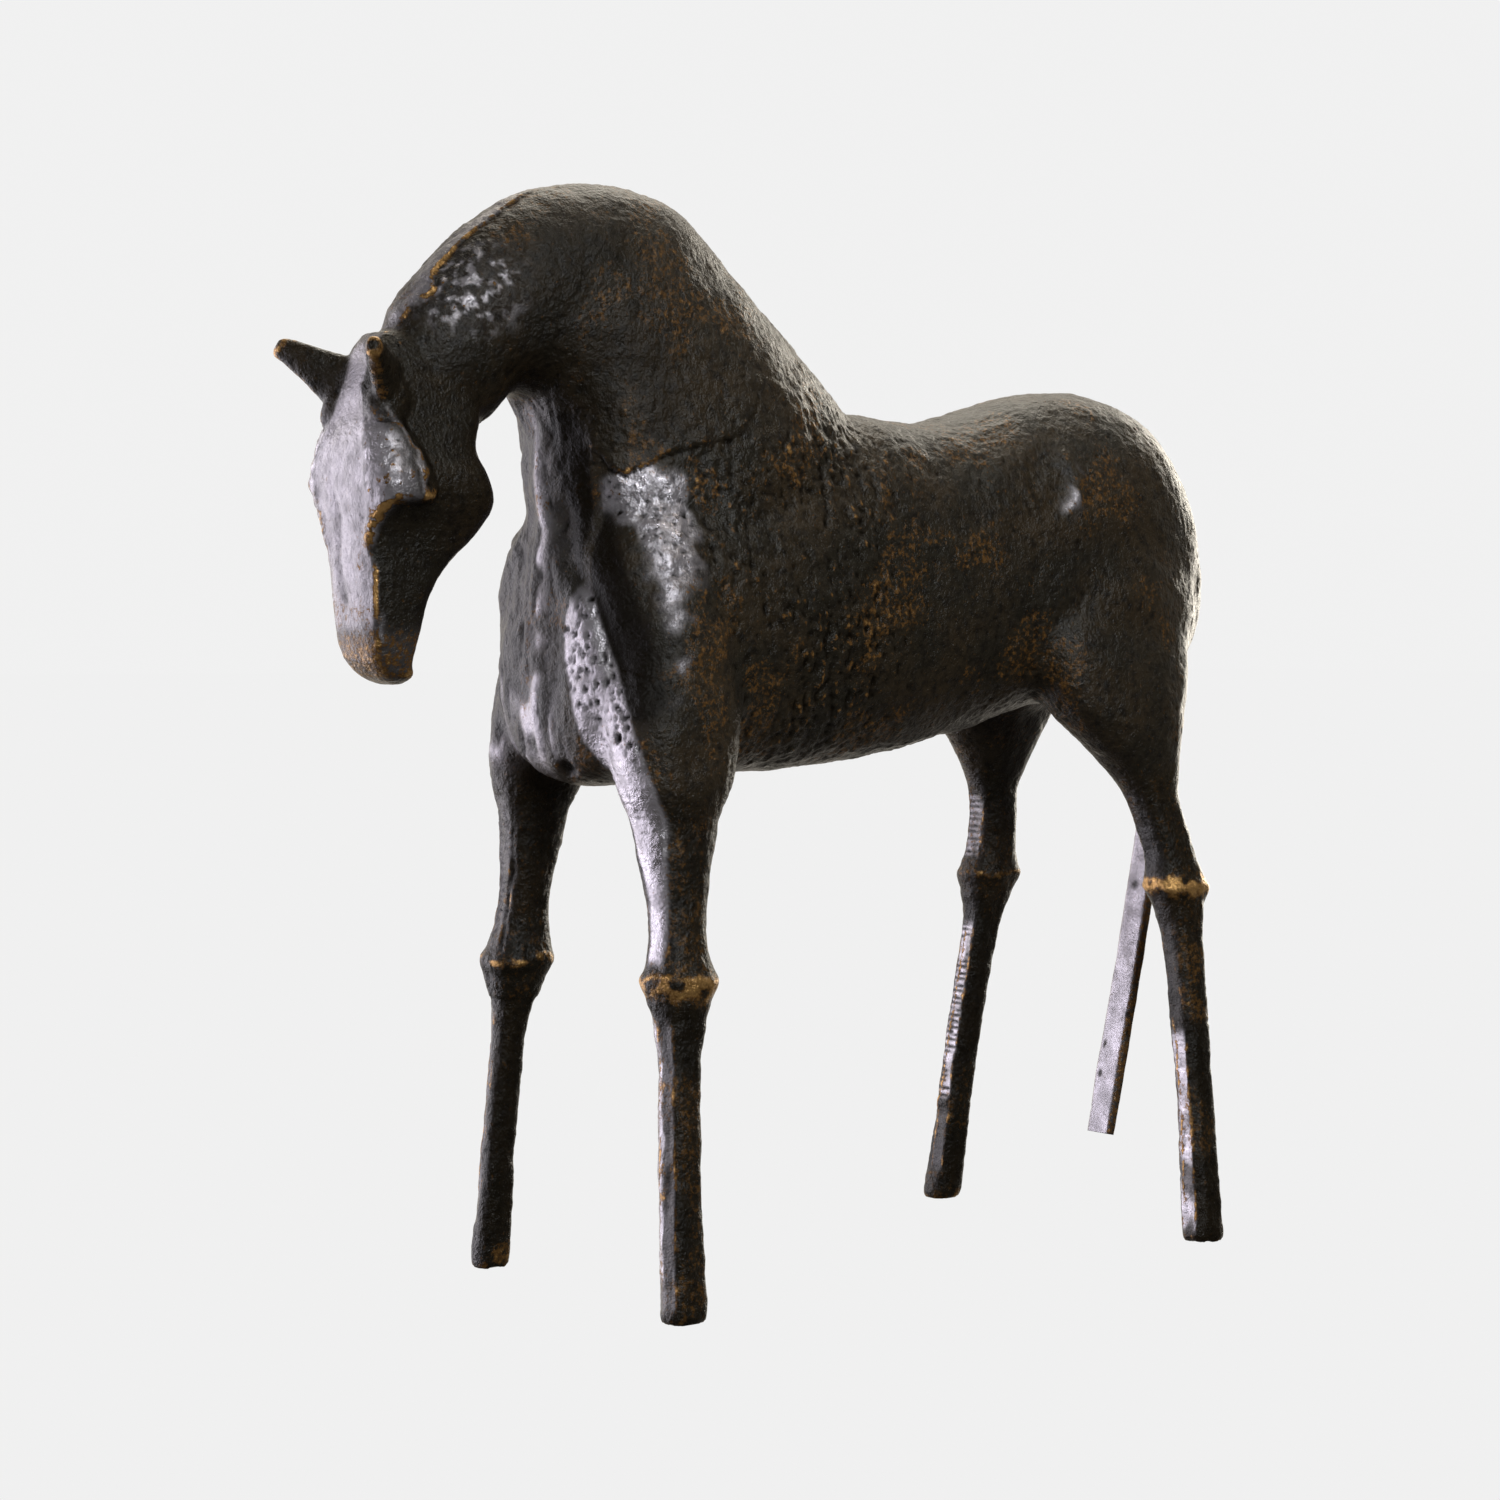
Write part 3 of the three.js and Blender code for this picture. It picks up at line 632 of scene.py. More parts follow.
# Face: a planed front that meets the side planes in a ridge, a brow corner, and hollows under it.
RIDGE = [(8, -246, 371), (14, -249, 357), (18.7, -251, 344), (19.8, -249.4, 326), (14.5, -249, 311),
         (16.6, -245.5, 300), (16, -245, 288), (14, -243, 271)]
BROW = [(17, -249, 312), (20, -247.5, 319), (25, -243.5, 327), (26.5, -235, 327), (28, -228, 330)]
FOLD = [(-8.6, -249.5, 356), (-3.3, -251, 322), (-6.7, -249, 304), (-3.4, -248, 288)]
ridge_d, brow_d = off_both(RIDGE), off_both(BROW)
ridge_x, aside = x_of(RIDGE), np.abs(x)
face = is_head * (1 - is_ear)
front_plane = face * ramp(to_front, 0.3, 0.6) * fall(aside, ridge_x - 1.2, ridge_x + 1.2)
back_edge = -y - np.interp(z, [326, 344, 354, 366], [228, 232, 236, 243]) + 2.5 * noise(base, 7, 80)
low_brow = np.interp(aside, [17, 20, 26], [310, 318, 327])  # lower limit of the side facet
upper_side = face * ramp(aside, ridge_x - 1, ridge_x + 1) * ramp(z, low_brow - 3, low_brow + 3)
upper_side *= ramp(back_edge, -4, 3) * fall(z, 350, 370)
carve += 0.9 * face * bell(ridge_d, 2.0)
carve += is_head * 1.5 * bell(brow_d, 2.8)
carve -= is_head * 0.7 * bell(off(FOLD), 2.2)
carve -= 1.6 * both_blobs((26, -236, 314), (9, 12, 11), 0.6)  # hollow under the brow
carve += 0.7 * upper_side * fbm(base, 3.6, 3, 81)
carve += upper_side * np.clip(0.55 * (aside - ridge_x), 0, 4.2)
carve += 0.25 * front_plane * noise(base, 9, 82, (1, 1, 2.2))
# The front plane is filed and painted bright above the muzzle: a painted highlight.
at_least(polish_and_sheen, front_plane * (0.08 + 0.58 * ramp(z, 270, 282)))
at_least(gold, 0.27 * front_plane * fall(z, 295, 335) * patchy(14, 86, -0.3, 0.3))
# The upper side facet is painted bright towards the ridge, with a thin line along its back edge: painted
# highlights.
facet_shine = 0.95 * upper_side * (0.6 + 0.4 * ramp(fbm(base, 4, 3, 87), -0.3, 0.2))
at_least(polish_and_sheen, facet_shine * ramp(back_edge, 2, 13))
at_least(polish_and_sheen, 0.7 * upper_side * bell(back_edge - 2.5, 1.0) * ramp(z, 326, 332))
at_least(gold, 0.85 * is_head * bell(brow_d, 2.6) * patchy(3.6, 83, -0.35, 0.15) * patchy(9, 89, -0.5, 0.0))
at_least(gold, 0.7 * is_head * bell(ridge_d, 1.1) * patchy(7, 88, -0.4, 0.2) * fall(z, 322, 330))
muzzle = is_head * fall(z, 270, 282)
at_least(gold, (0.36 + 0.16 * front_plane) * muzzle)
at_least(polish_and_sheen, (0.1 + 0.16 * front_plane) * muzzle)
carve += is_head * bell(z - 259, 2.2) * ramp(y, -236, -229)  # lip
carve += 0.7 * is_head * both_blobs((22, -205, 322), (14, 20, 20), 0.5)  # jaw
rough *= 1 - is_head

# Ears: a hollow in each tip, with a rubbed rim.
for side in (1, -1):
    d = away((side * 37.6, -259, 387.6 - side * 3))
    carve -= 1.6 * bell(d, 2.6)
    at_least(gold, 0.5 * bell(d - 4.6, 1.3))
at_least(gold, 0.38 * is_ear * ramp(-n[:, 2], 0.3, 0.8))  # rubbed underneath
carve += 0.25 * is_ear * noise(base, 5, 84)

# Legs: filed flat in front, knobbly elsewhere, with a raised ring at each knee and hock.
carve += is_leg * (0.45 * noise(base, 13, 91, (1, 1, 1.6)) + 0.28 * fbm(base, 5.5, 2, 92))
filed = is_leg * ramp(to_front, 0.72, 0.93)
ragged = patchy(16, 93, -0.35, 0.25, (0.7, 0.7, 2))
CLEFT = [(-41, -146, 209), (-46, -143, 187), (-47, -142, 174), (-50, -142, 166), (-52, -143, 153),
         (-51, -146, 140)]  # down the front of the right forearm
inside_cleft = ramp(-x, 20, 25) * ramp(-y, 100, 110) * ramp(z, 136, 142) * ramp(x - x_of(CLEFT), -1.5, 0.5)
carve -= 1.1 * bell(off(CLEFT), 1.2)
# The filed fronts are painted faintly bright: filing and a painted highlight.
filed_shine = (0.04 + 0.10 * ragged * fall(to_left, -0.05, 0.2)) * (0.4 + 0.6 * ramp(z, 130, 150))
at_least(polish_and_sheen, filed * filed_shine * (1 - inside_cleft))

# Flats filed along each leg: bearing of the flat, share of the radius kept, lowest and highest level,
# brightness painted as filing and painted highlight, depth of the file marks.
FLATS = {
    "left_hind": [(-98, 0.86, 5, 95, 1, 0.1), (-40, 0.93, 10, 95, 0, 0), (-97, 0.92, 100, 140, 0.12, 0),
                  (-92, 0.93, 172, 200, 0.06, 0)],
    "left_fore": [(-112, 0.9, 4, 122, 1, 0), (-80, 0.9, 6, 124, 0.28, 0), (-84, 0.9, 141, 168, 0.42, 0.15)],
    "right_fore": [(-99, 0.88, 146, 206, 0.22, 0.45), (-112, 0.9, 20, 118, 0.35, 0)],
    "right_hind": [(-97, 0.88, 168, 200, 0.55, 0.45), (-99, 0.84, 50, 136, 1, 0.55),
                   (-97, 0.8, 14, 44, 0.22, 0.15)],
}
LEVELS = np.arange(0, 210, 3.0)
for leg_name, flats in FLATS.items():
    axis = refine(LEGS[leg_name][0], 40)
    at_end = (y < -80) if leg_name.endswith("fore") else (y > 80)
    here = np.flatnonzero((side_of(leg_name) * x > 12) & at_end & (z < 210))  # this leg's points
    place, level, normal = base[here], z[here], n[here]
    from_x = x[here] - np.interp(level, axis[:, 2], axis[:, 0])
    from_y = y[here] - np.interp(level, axis[:, 2], axis[:, 1])
    for bearing, keep, z_low, z_high, bright, marks in flats:
        out = np.array([math.cos(math.radians(bearing)), math.sin(math.radians(bearing))])
        reach = from_x * out[0] + from_y * out[1]
        widest = [reach[np.abs(level - z_here) < 3].max() for z_here in LEVELS]
        cut = np.interp(level, LEVELS, widest) * (keep + 0.05 * noise(place, 10, 104, (1, 1, 1.5)))
        span = ramp(level, z_low - 2, z_low + 2) * fall(level, z_high - 3, z_high + 3) * (1 - strip[here])
        carve[here] -= np.clip(reach - cut, 0, 4) * span / np.clip(normal[:, :2] @ out, 0.6, 1)
        flat = ramp(reach - cut, -0.1, 0.25) * span
        tick = ramp(np.sin(level * 2.1 + 1.2 * noise(place, 12, 105)), 0.1, 0.5)
        tick *= ramp(noise(place, 12, 106), -0.5, -0.1)
        carve[here] -= marks * flat * tick
        patches = 0.35 + 0.65 * ramp(noise(place, 9, 107, (1, 1, 2.2)), -0.45, 0.0)
        shine = bright * flat * (patches * (1 - 1.4 * marks * tick))
        polish_and_sheen[here] = np.maximum(polish_and_sheen[here], shine)
        if bright > 0.1:
            arris = span * bell(reach - cut + 0.15, 0.4) * (normal @ [0.8, -0.6, 0] > 0)
            gold[here] = np.maximum(gold[here], 0.6 * arris * ramp(noise(place, 8, 108), 0.0, 0.3))
hammered = 0.45 - cells(base, 8, 102, (1, 1, 2.6))[0]
carve += is_leg * 0.7 * hammered * (1 - strip)
rasp = np.sin(z * 1.9 + x * 0.9 + 2.0 * noise(base, 11, 94))
carve -= 0.22 * filed * (rasp > 0.5) * ramp(z, 150, 158) * (1 - strip)
# Gold on the joint rings: drop below the lip, spread, strength.
GOLD_RINGS = {"left_fore": (3.0, 6.0, 0.85), "right_fore": (0, 1.8, 0.6), "left_hind": (-1, 5.0, 1.2),
              "right_hind": (0, 1.6, 0.3)}
for leg_name, (axis, _, knee, *_) in LEGS.items():
    fore = leg_name.endswith("fore")
    own_side = ramp(side_of(leg_name) * x, 10, 16) * ramp(-y if fore else y, 80, 90) * is_leg
    lip = knee + (17 if fore else 12)
    drop, spread, rub = GOLD_RINGS[leg_name]
    level = z + 2.5 * noise(base, 15, 95)
    carve += 0.8 * own_side * bell(level - lip, 2.2)
    carve -= 0.5 * own_side * bell(level - lip + 7, 2.6)
    from_ring = level - lip + drop + 3 * noise(base, 8, 100)
    at_least(gold, rub * own_side * bell(from_ring, spread) * patchy(6, 99, -0.6, 0.1))
    at_least(gold, own_side * 0.45 * fall(z, 6, 18) * patchy(14, 96, 0.0, 0.5))
    flash = bell(x - x_of(axis[::-1]) + 3.2 + noise(base, 18, 97), 0.9) * ramp(to_front, 0.3, 0.6)
    flash *= own_side * ramp(z, 12, 20) * fall(z, knee - 8, knee) * patchy(22, 103, -0.35, 0.0)
    carve += 0.55 * flash
    at_least(gold, 0.55 * flash)

# Amber wear in drifts over the flank, shoulder and forearm.
drift = ramp(fbm(base, 36, 3, 98), 0.0, 0.4) * (1 - is_head)
outer = 0.64 * is_leg * ramp(to_left, 0.3, 0.8) * ramp(z, 120, 150)
at_least(gold, 0.25 * (1 - 0.3 * right) * np.maximum(drift, outer))
left_hind = ramp(x, 20, 30) * ramp(y, 100, 110) * is_leg
above_seam = ramp(z, SEAM_Z, SEAM_Z + 1) * fall(z, 140, 150)
at_least(gold, 0.34 * patchy(12, 101, -0.5, 0.2) * left_hind * above_seam * ramp(to_left, 0.0, 0.4))
carve -= 0.45 * left_hind * bell(z - SEAM_Z, 0.9)
gold *= (1 - 0.9 * strip) * (1 - 0.8 * patch)
FOREARM_LINE = [(61, -134, 216), (62, -133, 196), (62.5, -133, 174)]
at_least(gold, 0.5 * bell(off(FOREARM_LINE), 2.4) * patchy(5, 109, -0.1, 0.4))

# Blackened where nothing has worn the surface.
is_neck = is_trunk * ramp(-y, 100, 130) * ramp(z, 335, 360)
unworn = 1 - np.clip(1.6 * np.maximum(polish_and_sheen, gold), 0, 1)
for zone, amount in ((is_leg, 0.62), (is_head, 0.45), (is_neck, 0.48), (chest, 0.5)):
    at_least(blackened_and_shade, unworn * amount * zone)

# Cast grain, bark-like on the barrel, and scattered pits.
height += carve
bark = fbm(warp, 4.8, 2, 11, (1, 0.9, 1.2))
rough_patch = blob((50, -60, 300), (40, 55, 80), 0.6)
height += rough * (0.50 + 1.2 * rough_patch) * bark
dull *= 1 - 0.7 * rough_patch
height += 0.36 * fbm(base, 2.9, 2, 21) * (0.35 + 0.65 * rough)
pit_d, pit_own = cells(base, 3.8, 31)
pits = fall(pit_d, 0.12, 0.36) * (pit_own > 0.5) * patchy(26, 32, 0.0, 0.45)
height -= 0.5 * pits * (0.4 + 0.6 * is_trunk)

skin.p = base + n * height[:, None]


# ---------------- which casting each face belongs to
# Seams between castings: a point of the plane, and its normal.
POLL = ((0, -209, 378), unit([0, -0.66, -0.75]))
WITHERS = ((0, -100, 368), unit([0, -0.37, 0.93]))
LOIN_Y = -20
# Core plugs: centre, direction outward.
PLUGS = {
    "core_plug_left_hip": ((54.7, 92.2, 315), unit([1, 0, 0.1])),
    "core_plug_right_hip": ((-54.7, 92.2, 315), unit([-1, 0, 0.1])),
    "core_plug_left_flank": ((50, 40, 256), unit([1, 0, -0.35])),
    "core_plug_right_flank": ((-50, 40, 256), unit([-1, 0, -0.35])),
    "core_plug_belly_fore": ((0, -70, 215), unit([0, 0, -1])),
    "core_plug_belly_hind": ((0, 70, 234), unit([0, 0, -1])),
}
PLUG_RADIUS = 3.0
EAR_CUT = (np.array([17.5, -241, 373.5]), unit([30.3, -28.6, 20]))

names = ["hindquarters_casting", "forequarters_casting", "neck_casting", "head_casting"]
names += ["left_ear", "right_ear"]
for leg_name in LEGS:
    names += [leg_name + "_upper_leg", leg_name + "_cannon"]
names += ["left_hind_foot_section"] + list(PLUGS)
CODE = {name: i for i, name in enumerate(names)}


def beyond(p, plane):
    """How far each point lies past a plane."""
    return (p - plane[0]) @ plane[1]


def owners(p):
    """The casting that holds each point of the skin."""
    px, py, pz = p.T
    own = np.where(py > LOIN_Y, CODE["hindquarters_casting"], CODE["forequarters_casting"])
    own[(beyond(p, WITHERS) > 0) & (py < LOIN_Y)] = CODE["neck_casting"]
    own[(beyond(p, POLL) > 0) & (py < -170) & (pz > 235)] = CODE["head_casting"]
    for side, name in ((1, "left_ear"), (-1, "right_ear")):
        in_ear = (px * side > 6) & (pz > 352) & (py < -228)
        own[(beyond(p * [side, 1, 1], EAR_CUT) > 0) & in_ear] = CODE[name]
    for name, (_, _, knee, hip, *_) in LEGS.items():
        front, back = (-175, -80) if name.endswith("fore") else (80, 195)
        column = (px * side_of(name) > 12) & (py > front) & (py < back)
        own[column & (pz < hip)] = CODE[name + "_upper_leg"]
        own[column & (pz < knee)] = CODE[name + "_cannon"]
    own[(px > 12) & (py > 80) & (pz < SEAM_Z)] = CODE["left_hind_foot_section"]
    for name, (spot, out) in PLUGS.items():
        arm = p - spot
        depth = arm @ out
        aside = np.linalg.norm(arm - depth[:, None] * out, axis=1)
        own[(aside < PLUG_RADIUS) & (np.abs(depth) < 9)] = CODE[name]
    return own


def seam_planes():
    planes = {("head_casting", "neck_casting"): POLL, ("neck_casting", "forequarters_casting"): WITHERS,
              ("hindquarters_casting", "forequarters_casting"): ((0, LOIN_Y, 0), Y),
              ("left_ear", "head_casting"): EAR_CUT,
              ("right_ear", "head_casting"): (EAR_CUT[0] * [-1, 1, 1], EAR_CUT[1] * [-1, 1, 1]),
              ("left_hind_cannon", "left_hind_foot_section"): ((0, 0, SEAM_Z), Z)}
    for name, (_, _, knee, hip, *_) in LEGS.items():
        body = "forequarters_casting" if name.endswith("fore") else "hindquarters_casting"
        planes[(name + "_upper_leg", body)] = ((0, 0, hip), Z)
        planes[(name + "_upper_leg", name + "_cannon")] = ((0, 0, knee), Z)
    return planes


q = skin.q
own = owners(skin.p[q].mean(1))
touch = np.zeros((len(skin.p), len(names)), bool)
for k in range(4):
    touch[q[:, k], own] = True
for (a, b), (point, normal) in seam_planes().items():
    on = touch[:, CODE[a]] & touch[:, CODE[b]]
    gap = (skin.p[on] - point) @ normal
    skin.p[on] -= np.clip(gap, -1.5, 1.5)[:, None] * normal
for name, (spot, out) in PLUGS.items():
    on = touch[:, CODE[name]] & (touch.sum(1) > 1)
    arm = skin.p[on] - spot
    flat = arm - (arm @ out)[:, None] * out
    skin.p[on] += flat * (PLUG_RADIUS / np.linalg.norm(flat, axis=1) - 1)[:, None]

# Flat soles, and nothing past the box of the CAD part.
skin.p[skin.p[:, 2] < 0.35, 2] = 0
MARGIN = 0.05
limits = np.array([list(c) for c in cad_box]) / MM - OFFSET
skin.p = np.clip(skin.p, limits[0] + MARGIN * (1 - Z), limits[1] - MARGIN)


# ---------------- objects
def paint(ob, fields):
    """Give each point a number per field, for the material to read."""
    for name, values in fields.items():
        layer = ob.data.attributes.new(name, "FLOAT", "POINT")
        layer.data.foreach_set("value", np.asarray(values, np.float32))


def make(name, verts, faces):
    """One visible piece, in place of the CAD body of the same name."""
    ob = placed("cast_" + name, to_mesh(name, verts, faces))
    ob.data.shade_smooth()
    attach(ob, "root")
    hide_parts(name)
    return ob


def boundary_loops(faces):
    """Open edges of a face list, chained head to tail against the faces' own winding."""
    edges = {}
    for k in range(4):
        for a, b in zip(faces[:, k], faces[:, (k + 1) % 4]):
            if (b, a) in edges:
                del edges[(b, a)]
            else:
                edges[(a, b)] = True
    after = {}
    for a, b in edges:
        after.setdefault(b, []).append(a)
    loops = []
    while after:
        start = next(iter(after))
        loop, at = [], start
        while True:
            loop.append(at)
            at = after[at].pop()
            if not after[loop[-1]]:
                del after[loop[-1]]
            if at == start:
                break
        loops.append(loop)
    return loops


PLUG_DEPTH, SOCKET_DEPTH = 3.0, 3.4


def casting(name, values):
    """One casting's share of the skin, closed where it meets its neighbours.

    A wide cut is closed by a fan of triangles. A core plug, and the socket it sits in, first go inward.
    """
    faces = q[own == CODE[name]]
    used, local = np.unique(faces, return_inverse=True)
    local = local.reshape(faces.shape)
    verts = skin.p[used]
    normal = skin_normals[used]
    closing = []
    data = {key: val[used] for key, val in values.items()}
    for loop in boundary_loops(local):
        rim = verts[loop]
        middle = rim.mean(0)
        if np.linalg.norm(rim - middle, axis=1).max() < 2 * PLUG_RADIUS:
            depth = PLUG_DEPTH if name.startswith("core_plug") else SOCKET_DEPTH
            inward = -unit(normal[loop].mean(0)) * depth
            at = len(verts)
            verts = np.vstack([verts, rim + inward])
            data = {key: np.concatenate([val, val[loop]]) for key, val in data.items()}
            inner = list(range(at, at + len(loop)))
            closing += list(zip(loop, loop[1:] + loop[:1], inner[1:] + inner[:1], inner))
            loop, middle = inner, middle + inward
        at = len(verts)
        verts = np.vstack([verts, middle])
        data = {key: np.append(val, val[0]) for key, val in data.items()}
        closing += [(a, b, at) for a, b in zip(loop, loop[1:] + loop[:1])]
    ob = make(name, verts, [tuple(f) for f in local] + closing)
    # The skin keeps the whole horse's normals, so no seam shows; zero leaves a closing face its own.
    corner_normals = np.zeros((len(ob.data.loops), 3))
    corner_normals[:local.size] = normal[local.ravel()]
    ob.data.normals_split_custom_set([tuple(c) for c in corner_normals])
    paint(ob, data)
    return ob


skin_normals = skin.normals()
curve = ((skin.p - skin.mean(skin.p)) * skin_normals).sum(1)
edge = skin.blur(np.clip(curve, -0.3, 0.3), 2)
gold = np.clip(gold + ramp(edge, 0.05, 0.16) * 0.6 * (1 - 0.85 * strip), 0, 1)
# Near black where the skin turns inward, and under the blackening and painted shade set above.
cavity_and_shade = np.maximum(ramp(-edge, 0.02, 0.12), blackened_and_shade)
wear_and_light = {"polish_and_sheen": polish_and_sheen, "gold": gold, "cavity_and_shade": cavity_and_shade, "dull": dull}
cast = [casting(name, wear_and_light) for name in names]


# ---------------- tail
TAIL_SIDES = 72


def tail():
    """The bar's points and faces, and each outline point's direction towards the bar's axis."""
    rows = refine(TAIL, 40)
    rings = []
    for i, (cy, cz, half, thin) in enumerate(rows):
        ahead = rows[min(i + 1, len(rows) - 1)] - rows[max(i - 1, 0)]
        run = unit([0, ahead[0], ahead[1]])
        rings.append(ring((0, cy, cz), X, np.cross(run, X), half, thin, 5, TAIL_SIDES))
    verts, faces = loft(rings)
    axis = np.column_stack([np.zeros(len(rows)), rows[:, :2]])
    inward = np.repeat(axis, TAIL_SIDES, axis=0) - verts[:-2]
    return verts, faces, inward / np.linalg.norm(inward, axis=1)[:, None]


tail_verts, tail_faces, inward = tail()
tail_d, tail_own = cells(tail_verts, 4.4, 121, (1, 1, 1.6))
tail_pits = fall(tail_d, 0.12, 0.4) * (tail_own > 0.75)
sunk = 0.45 * tail_pits + 0.25 * noise(tail_verts, 12, 122) + 0.12 * fbm(tail_verts, 4, 2, 123)
tail_verts[:-2] += inward * sunk[:-2, None]
tail_verts = np.clip(tail_verts, limits[0] + MARGIN, limits[1] - MARGIN)
tail_bar = make("tail_bar", tail_verts, tail_faces)
edge_strip = ramp(tail_verts[:, 0], 5.4, 7.0)
front = ramp(np.append(inward[:, 1], [0, 0]), -0.2, 0.4)
# Bright on the forward-facing side: filed metal with a painted highlight.
bare_and_sheen = (0.12 + 0.88 * front) * (1 - 0.85 * edge_strip) * (1 - 0.7 * tail_pits)
paint(tail_bar, {"polish_and_sheen": bare_and_sheen, "gold": 0.4 * edge_strip, "cavity_and_shade": 0.6 * tail_pits, "dull": 0 * front})


# ---------------- materials
def nodes_of(name):
    mat = bpy.data.materials.new(name)
    mat.use_nodes = True
    tree = mat.node_tree
    return mat, tree, tree.nodes["Principled BSDF"]


def node(tree, kind, **settings):
    made = tree.nodes.new(kind)
    for key, value in settings.items():
        if key in made.inputs:
            made.inputs[key].default_value = value
        else:
            setattr(made, key, value)
    return made


def grain(tree, scale, detail=3.0, roughness=0.55):
    """Noise whose scale is in features per metre, in the object's own space."""
    where = node(tree, "ShaderNodeTexCoord")
    tex = node(tree, "ShaderNodeTexNoise", Scale=scale, Detail=detail, Roughness=roughness)
    tree.links.new(where.outputs["Object"], tex.inputs["Vector"])
    return tex.outputs["Fac"]


def remap(tree, value, low, high, to_low=0.0, to_high=1.0):
    m = node(tree, "ShaderNodeMapRange")
    for socket, setting in zip(("From Min", "From Max", "To Min", "To Max"), (low, high, to_low, to_high)):
        m.inputs[socket].default_value = setting
    tree.links.new(value, m.inputs["Value"])
    return m.outputs["Result"]


def mixed(tree, factor, a, b):
    m = node(tree, "ShaderNodeMix", data_type="RGBA")
    for socket, value in ((m.inputs[6], a), (m.inputs[7], b)):
        if isinstance(value, tuple):
            socket.default_value = (*value, 1)
        else:
            tree.links.new(value, socket)
    tree.links.new(factor, m.inputs["Factor"])
    return m.outputs[2]


def maths(tree, op, a, b):
    m = node(tree, "ShaderNodeMath", operation=op)
    for socket, value in zip(m.inputs, (a, b)):
        if isinstance(value, (int, float)):
            socket.default_value = value
        else:
            tree.links.new(value, socket)
    return m.outputs[0]


PIT_AND_SHADE_BLACK, SOOT = (0.006, 0.004, 0.002), (0.012, 0.0095, 0.007)
DARK_BROWN, BROWN = (0.026, 0.0215, 0.0145), (0.045, 0.031, 0.017)
FILED_AND_SHEEN, AMBER, GOLD = (0.60, 0.565, 0.61), (0.15, 0.072, 0.020), (0.62, 0.355, 0.125)


def patina():
    """Mottled brown, filed bright with painted highlights by polish, rubbed to amber and gold by gold, black
    in the cavities and in painted shade.
    """
    mat, tree, bsdf = nodes_of("dark_bronze_patina")
    link = tree.links.new
    worn_and_lit = {key: node(tree, "ShaderNodeAttribute", attribute_name=key).outputs["Fac"] for key in wear_and_light}
    brown = mixed(tree, remap(tree, grain(tree, 30), 0.38, 0.62), DARK_BROWN, BROWN)
    mottled = mixed(tree, remap(tree, grain(tree, 260, 5), 0.45, 0.7), brown, SOOT)
    file_marks = remap(tree, grain(tree, 110, 5, 0.6), 0.35, 0.60, 0.62, 1.0)
    shine = maths(tree, "MULTIPLY", worn_and_lit["polish_and_sheen"], file_marks)
    # The filed colour also serves as a painted highlight.
    filed = mixed(tree, shine, mottled, FILED_AND_SHEEN)
    rub = maths(tree, "ADD", maths(tree, "MULTIPLY", worn_and_lit["gold"], 0.46), grain(tree, 430, 6, 0.72))
    amber = mixed(tree, remap(tree, rub, 0.62, 0.71), filed, AMBER)
    bright = mixed(tree, remap(tree, rub, 0.74, 0.90), amber, GOLD)
    # Black in the cavities and in the painted shade.
    link(mixed(tree, worn_and_lit["cavity_and_shade"], bright, PIT_AND_SHADE_BLACK), bsdf.inputs["Base Color"])
    metal = remap(tree, rub, 0.72, 0.86, 0.0, 0.6)
    link(maths(tree, "MAXIMUM", maths(tree, "MULTIPLY", shine, 0.75), metal), bsdf.inputs["Metallic"])
    smooth = maths(tree, "SUBTRACT", remap(tree, grain(tree, 160, 4), 0.3, 0.7, 0.17, 0.31),
                   maths(tree, "MULTIPLY", worn_and_lit["polish_and_sheen"], 0.07))
    matt = maths(tree, "MAXIMUM", maths(tree, "MULTIPLY", worn_and_lit["dull"], 0.12),
                 maths(tree, "MULTIPLY", worn_and_lit["cavity_and_shade"], 0.06))
    link(maths(tree, "ADD", smooth, matt), bsdf.inputs["Roughness"])
    link(remap(tree, worn_and_lit["cavity_and_shade"], 0.0, 1.0, 0.34, 0.13), bsdf.inputs["Specular IOR Level"])
    pitted = node(tree, "ShaderNodeBump", Distance=0.0011)
    link(remap(tree, worn_and_lit["polish_and_sheen"], 0.0, 1.0, 0.9, 0.35), pitted.inputs["Strength"])
    link(grain(tree, 420, 3, 0.6), pitted.inputs["Height"])
    fine = node(tree, "ShaderNodeBump", Strength=0.7, Distance=0.0005)
    link(grain(tree, 1000, 3, 0.6), fine.inputs["Height"])
    link(pitted.outputs["Normal"], fine.inputs["Normal"])
    link(fine.outputs["Normal"], bsdf.inputs["Normal"])
    return mat


def bare_bronze():
    """For the CAD parts inside, which have no patina."""
    mat, tree, bsdf = nodes_of("bare_bronze")
    tone = mixed(tree, remap(tree, grain(tree, 120), 0.35, 0.65), (0.50, 0.30, 0.13), (0.34, 0.20, 0.09))
    tree.links.new(tone, bsdf.inputs["Base Color"])
    bsdf.inputs["Metallic"].default_value = 1.0
    tree.links.new(remap(tree, grain(tree, 300), 0.3, 0.7, 0.3, 0.5), bsdf.inputs["Roughness"])
    return mat


skin_material = patina()
for ob in cast + [tail_bar]:
    ob.data.materials.append(skin_material)
inner_material = bare_bronze()
shown = set(names) | {"tail_bar"}
for name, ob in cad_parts.items():
    if name not in shown:
        ob.data.materials.clear()
        ob.data.materials.append(inner_material)

# ---------------- studio
PALE, FLOOR_GLOW = 0.876, 0.872  # the backdrop, and the floor that has to match it
COOL, WARM = (0.93, 0.90, 1.0), (1.0, 0.93, 0.8)
EYE = Vector((1.03298, -0.81105, 0.2685))
HEADING, PITCH = math.radians(52.7), math.radians(1.909)


def aimed(ob, place, target):
    ob.location = place
    ob.rotation_euler = (Vector(target) - Vector(place)).to_track_quat("-Z", "Y").to_euler()


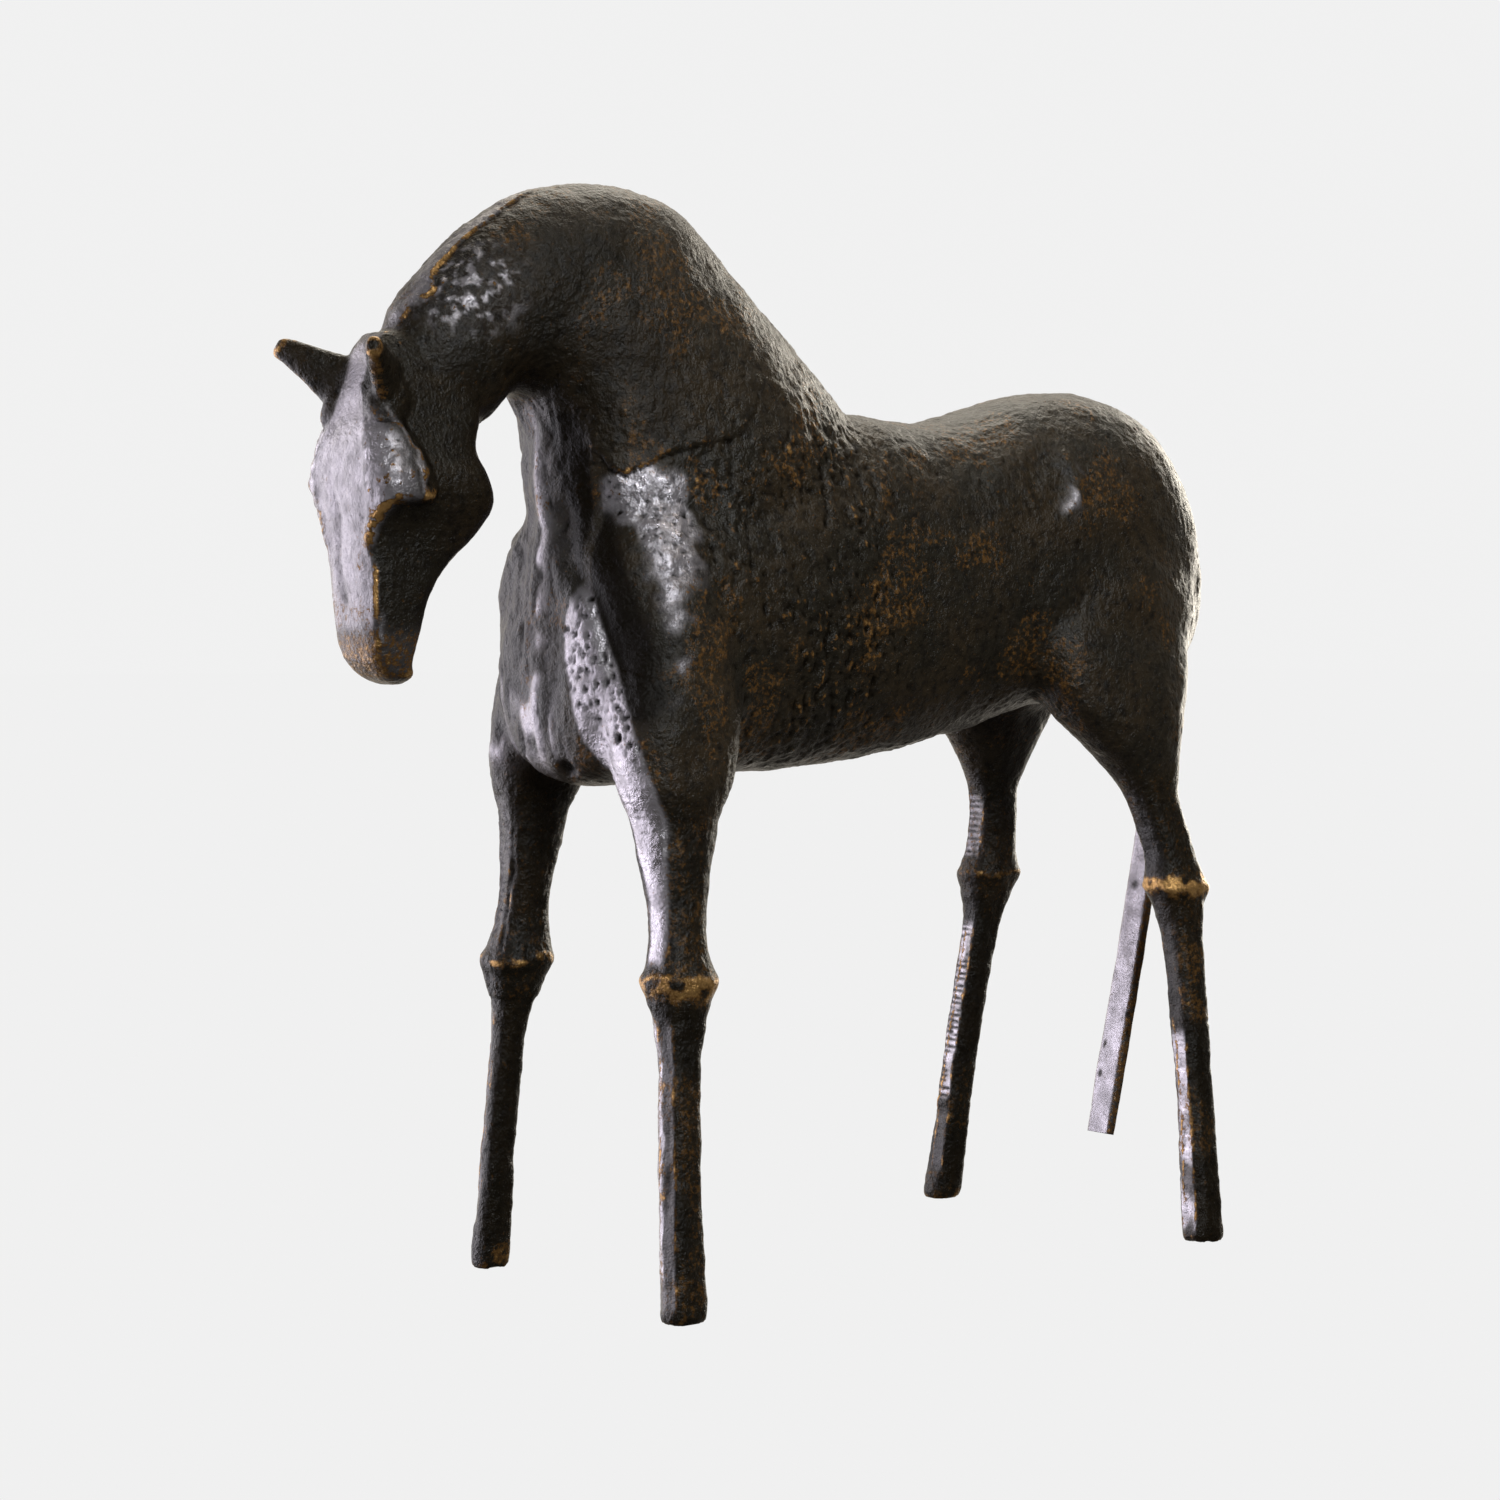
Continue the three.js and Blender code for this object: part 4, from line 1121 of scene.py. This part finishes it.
def softbox(name, place, width, depth, power, colour, target=(0, 0, 0.24)):
    """A rectangular lamp, in metres and watts, turned to its target."""
    light = bpy.data.lights.new(name, "AREA")
    light.shape = "RECTANGLE"
    light.size, light.size_y = width, depth
    light.energy = power
    light.color = colour
    aimed(placed(name, light), place, target)


camera = placed("camera", bpy.data.cameras.new("camera"))
camera.data.lens = 72
camera.data.sensor_width = 36
level = Vector((-math.sin(HEADING), math.cos(HEADING), 0))
aimed(camera, EYE, EYE + level * math.cos(PITCH) - Vector((0, 0, math.sin(PITCH))))
camera.data.clip_start, camera.data.clip_end = 0.05, 60
scene.camera = camera

softbox("side_softbox", (-1.38, -0.88, 0.25), 1.65, 1.8, 24, COOL)
softbox("front_softbox", (-0.28, -1.6, 0.25), 0.4, 1.0, 2.6, COOL)
softbox("near_strip", (1.38, -0.52, 0.95), 0.32, 1.1, 12.5, (0.94, 0.98, 1.0), (0, -0.08, 0.32))
softbox("flank_rake", (0.75, 0.25, 1.45), 0.3, 0.3, 2.0, WARM)
softbox("rim_softbox", (-0.52, 1.52, 0.6), 0.42, 1.2, 12, WARM)
softbox("top_softbox", (-0.6, 0.5, 1.5), 1.0, 1.0, 10, WARM)

world = bpy.data.worlds.new("studio")
scene.world = world
world.use_nodes = True
wt = world.node_tree
link = wt.links.new
back = wt.nodes["Background"]
back.inputs["Color"].default_value = (PALE, PALE, PALE, 1)
seen = node(wt, "ShaderNodeLightPath")
around = node(wt, "ShaderNodeTexCoord")
BACKDROP = (level + Vector((0, 0, 0.25))).normalized()
towards = node(wt, "ShaderNodeVectorMath", operation="DOT_PRODUCT")
link(around.outputs["Generated"], towards.inputs[0])
towards.inputs[1].default_value = BACKDROP
fill = node(wt, "ShaderNodeBackground")
fill.inputs["Color"].default_value = (1.0, 0.92, 0.79, 1)
link(remap(wt, towards.outputs["Value"], 0.40, 0.90, 0.05, 0.85), fill.inputs["Strength"])
pick = node(wt, "ShaderNodeMixShader")
link(seen.outputs["Is Camera Ray"], pick.inputs[0])
link(fill.outputs[0], pick.inputs[1])
link(back.outputs[0], pick.inputs[2])
link(pick.outputs[0], wt.nodes["World Output"].inputs["Surface"])


def floor():
    """A plane that glows like the backdrop and takes no part in the light on the horse."""
    me = bpy.data.meshes.new("floor")
    half = 30
    corners = [(-half, -half, 0), (half, -half, 0), (half, half, 0), (-half, half, 0)]
    me.from_pydata(corners, [], [(0, 1, 2, 3)])
    ob = placed("floor", me)
    mat, tree, bsdf = nodes_of("pale_floor")
    for socket, value in (("Base Color", (0, 0, 0, 1)), ("Specular IOR Level", 0.0),
                          ("Emission Color", (1, 1, 1, 1)), ("Emission Strength", FLOOR_GLOW)):
        bsdf.inputs[socket].default_value = value
    me.materials.append(mat)
    ob.visible_glossy = ob.visible_diffuse = ob.visible_shadow = False


floor()
scene.view_settings.view_transform = "Standard"
scene.view_settings.look = "None"
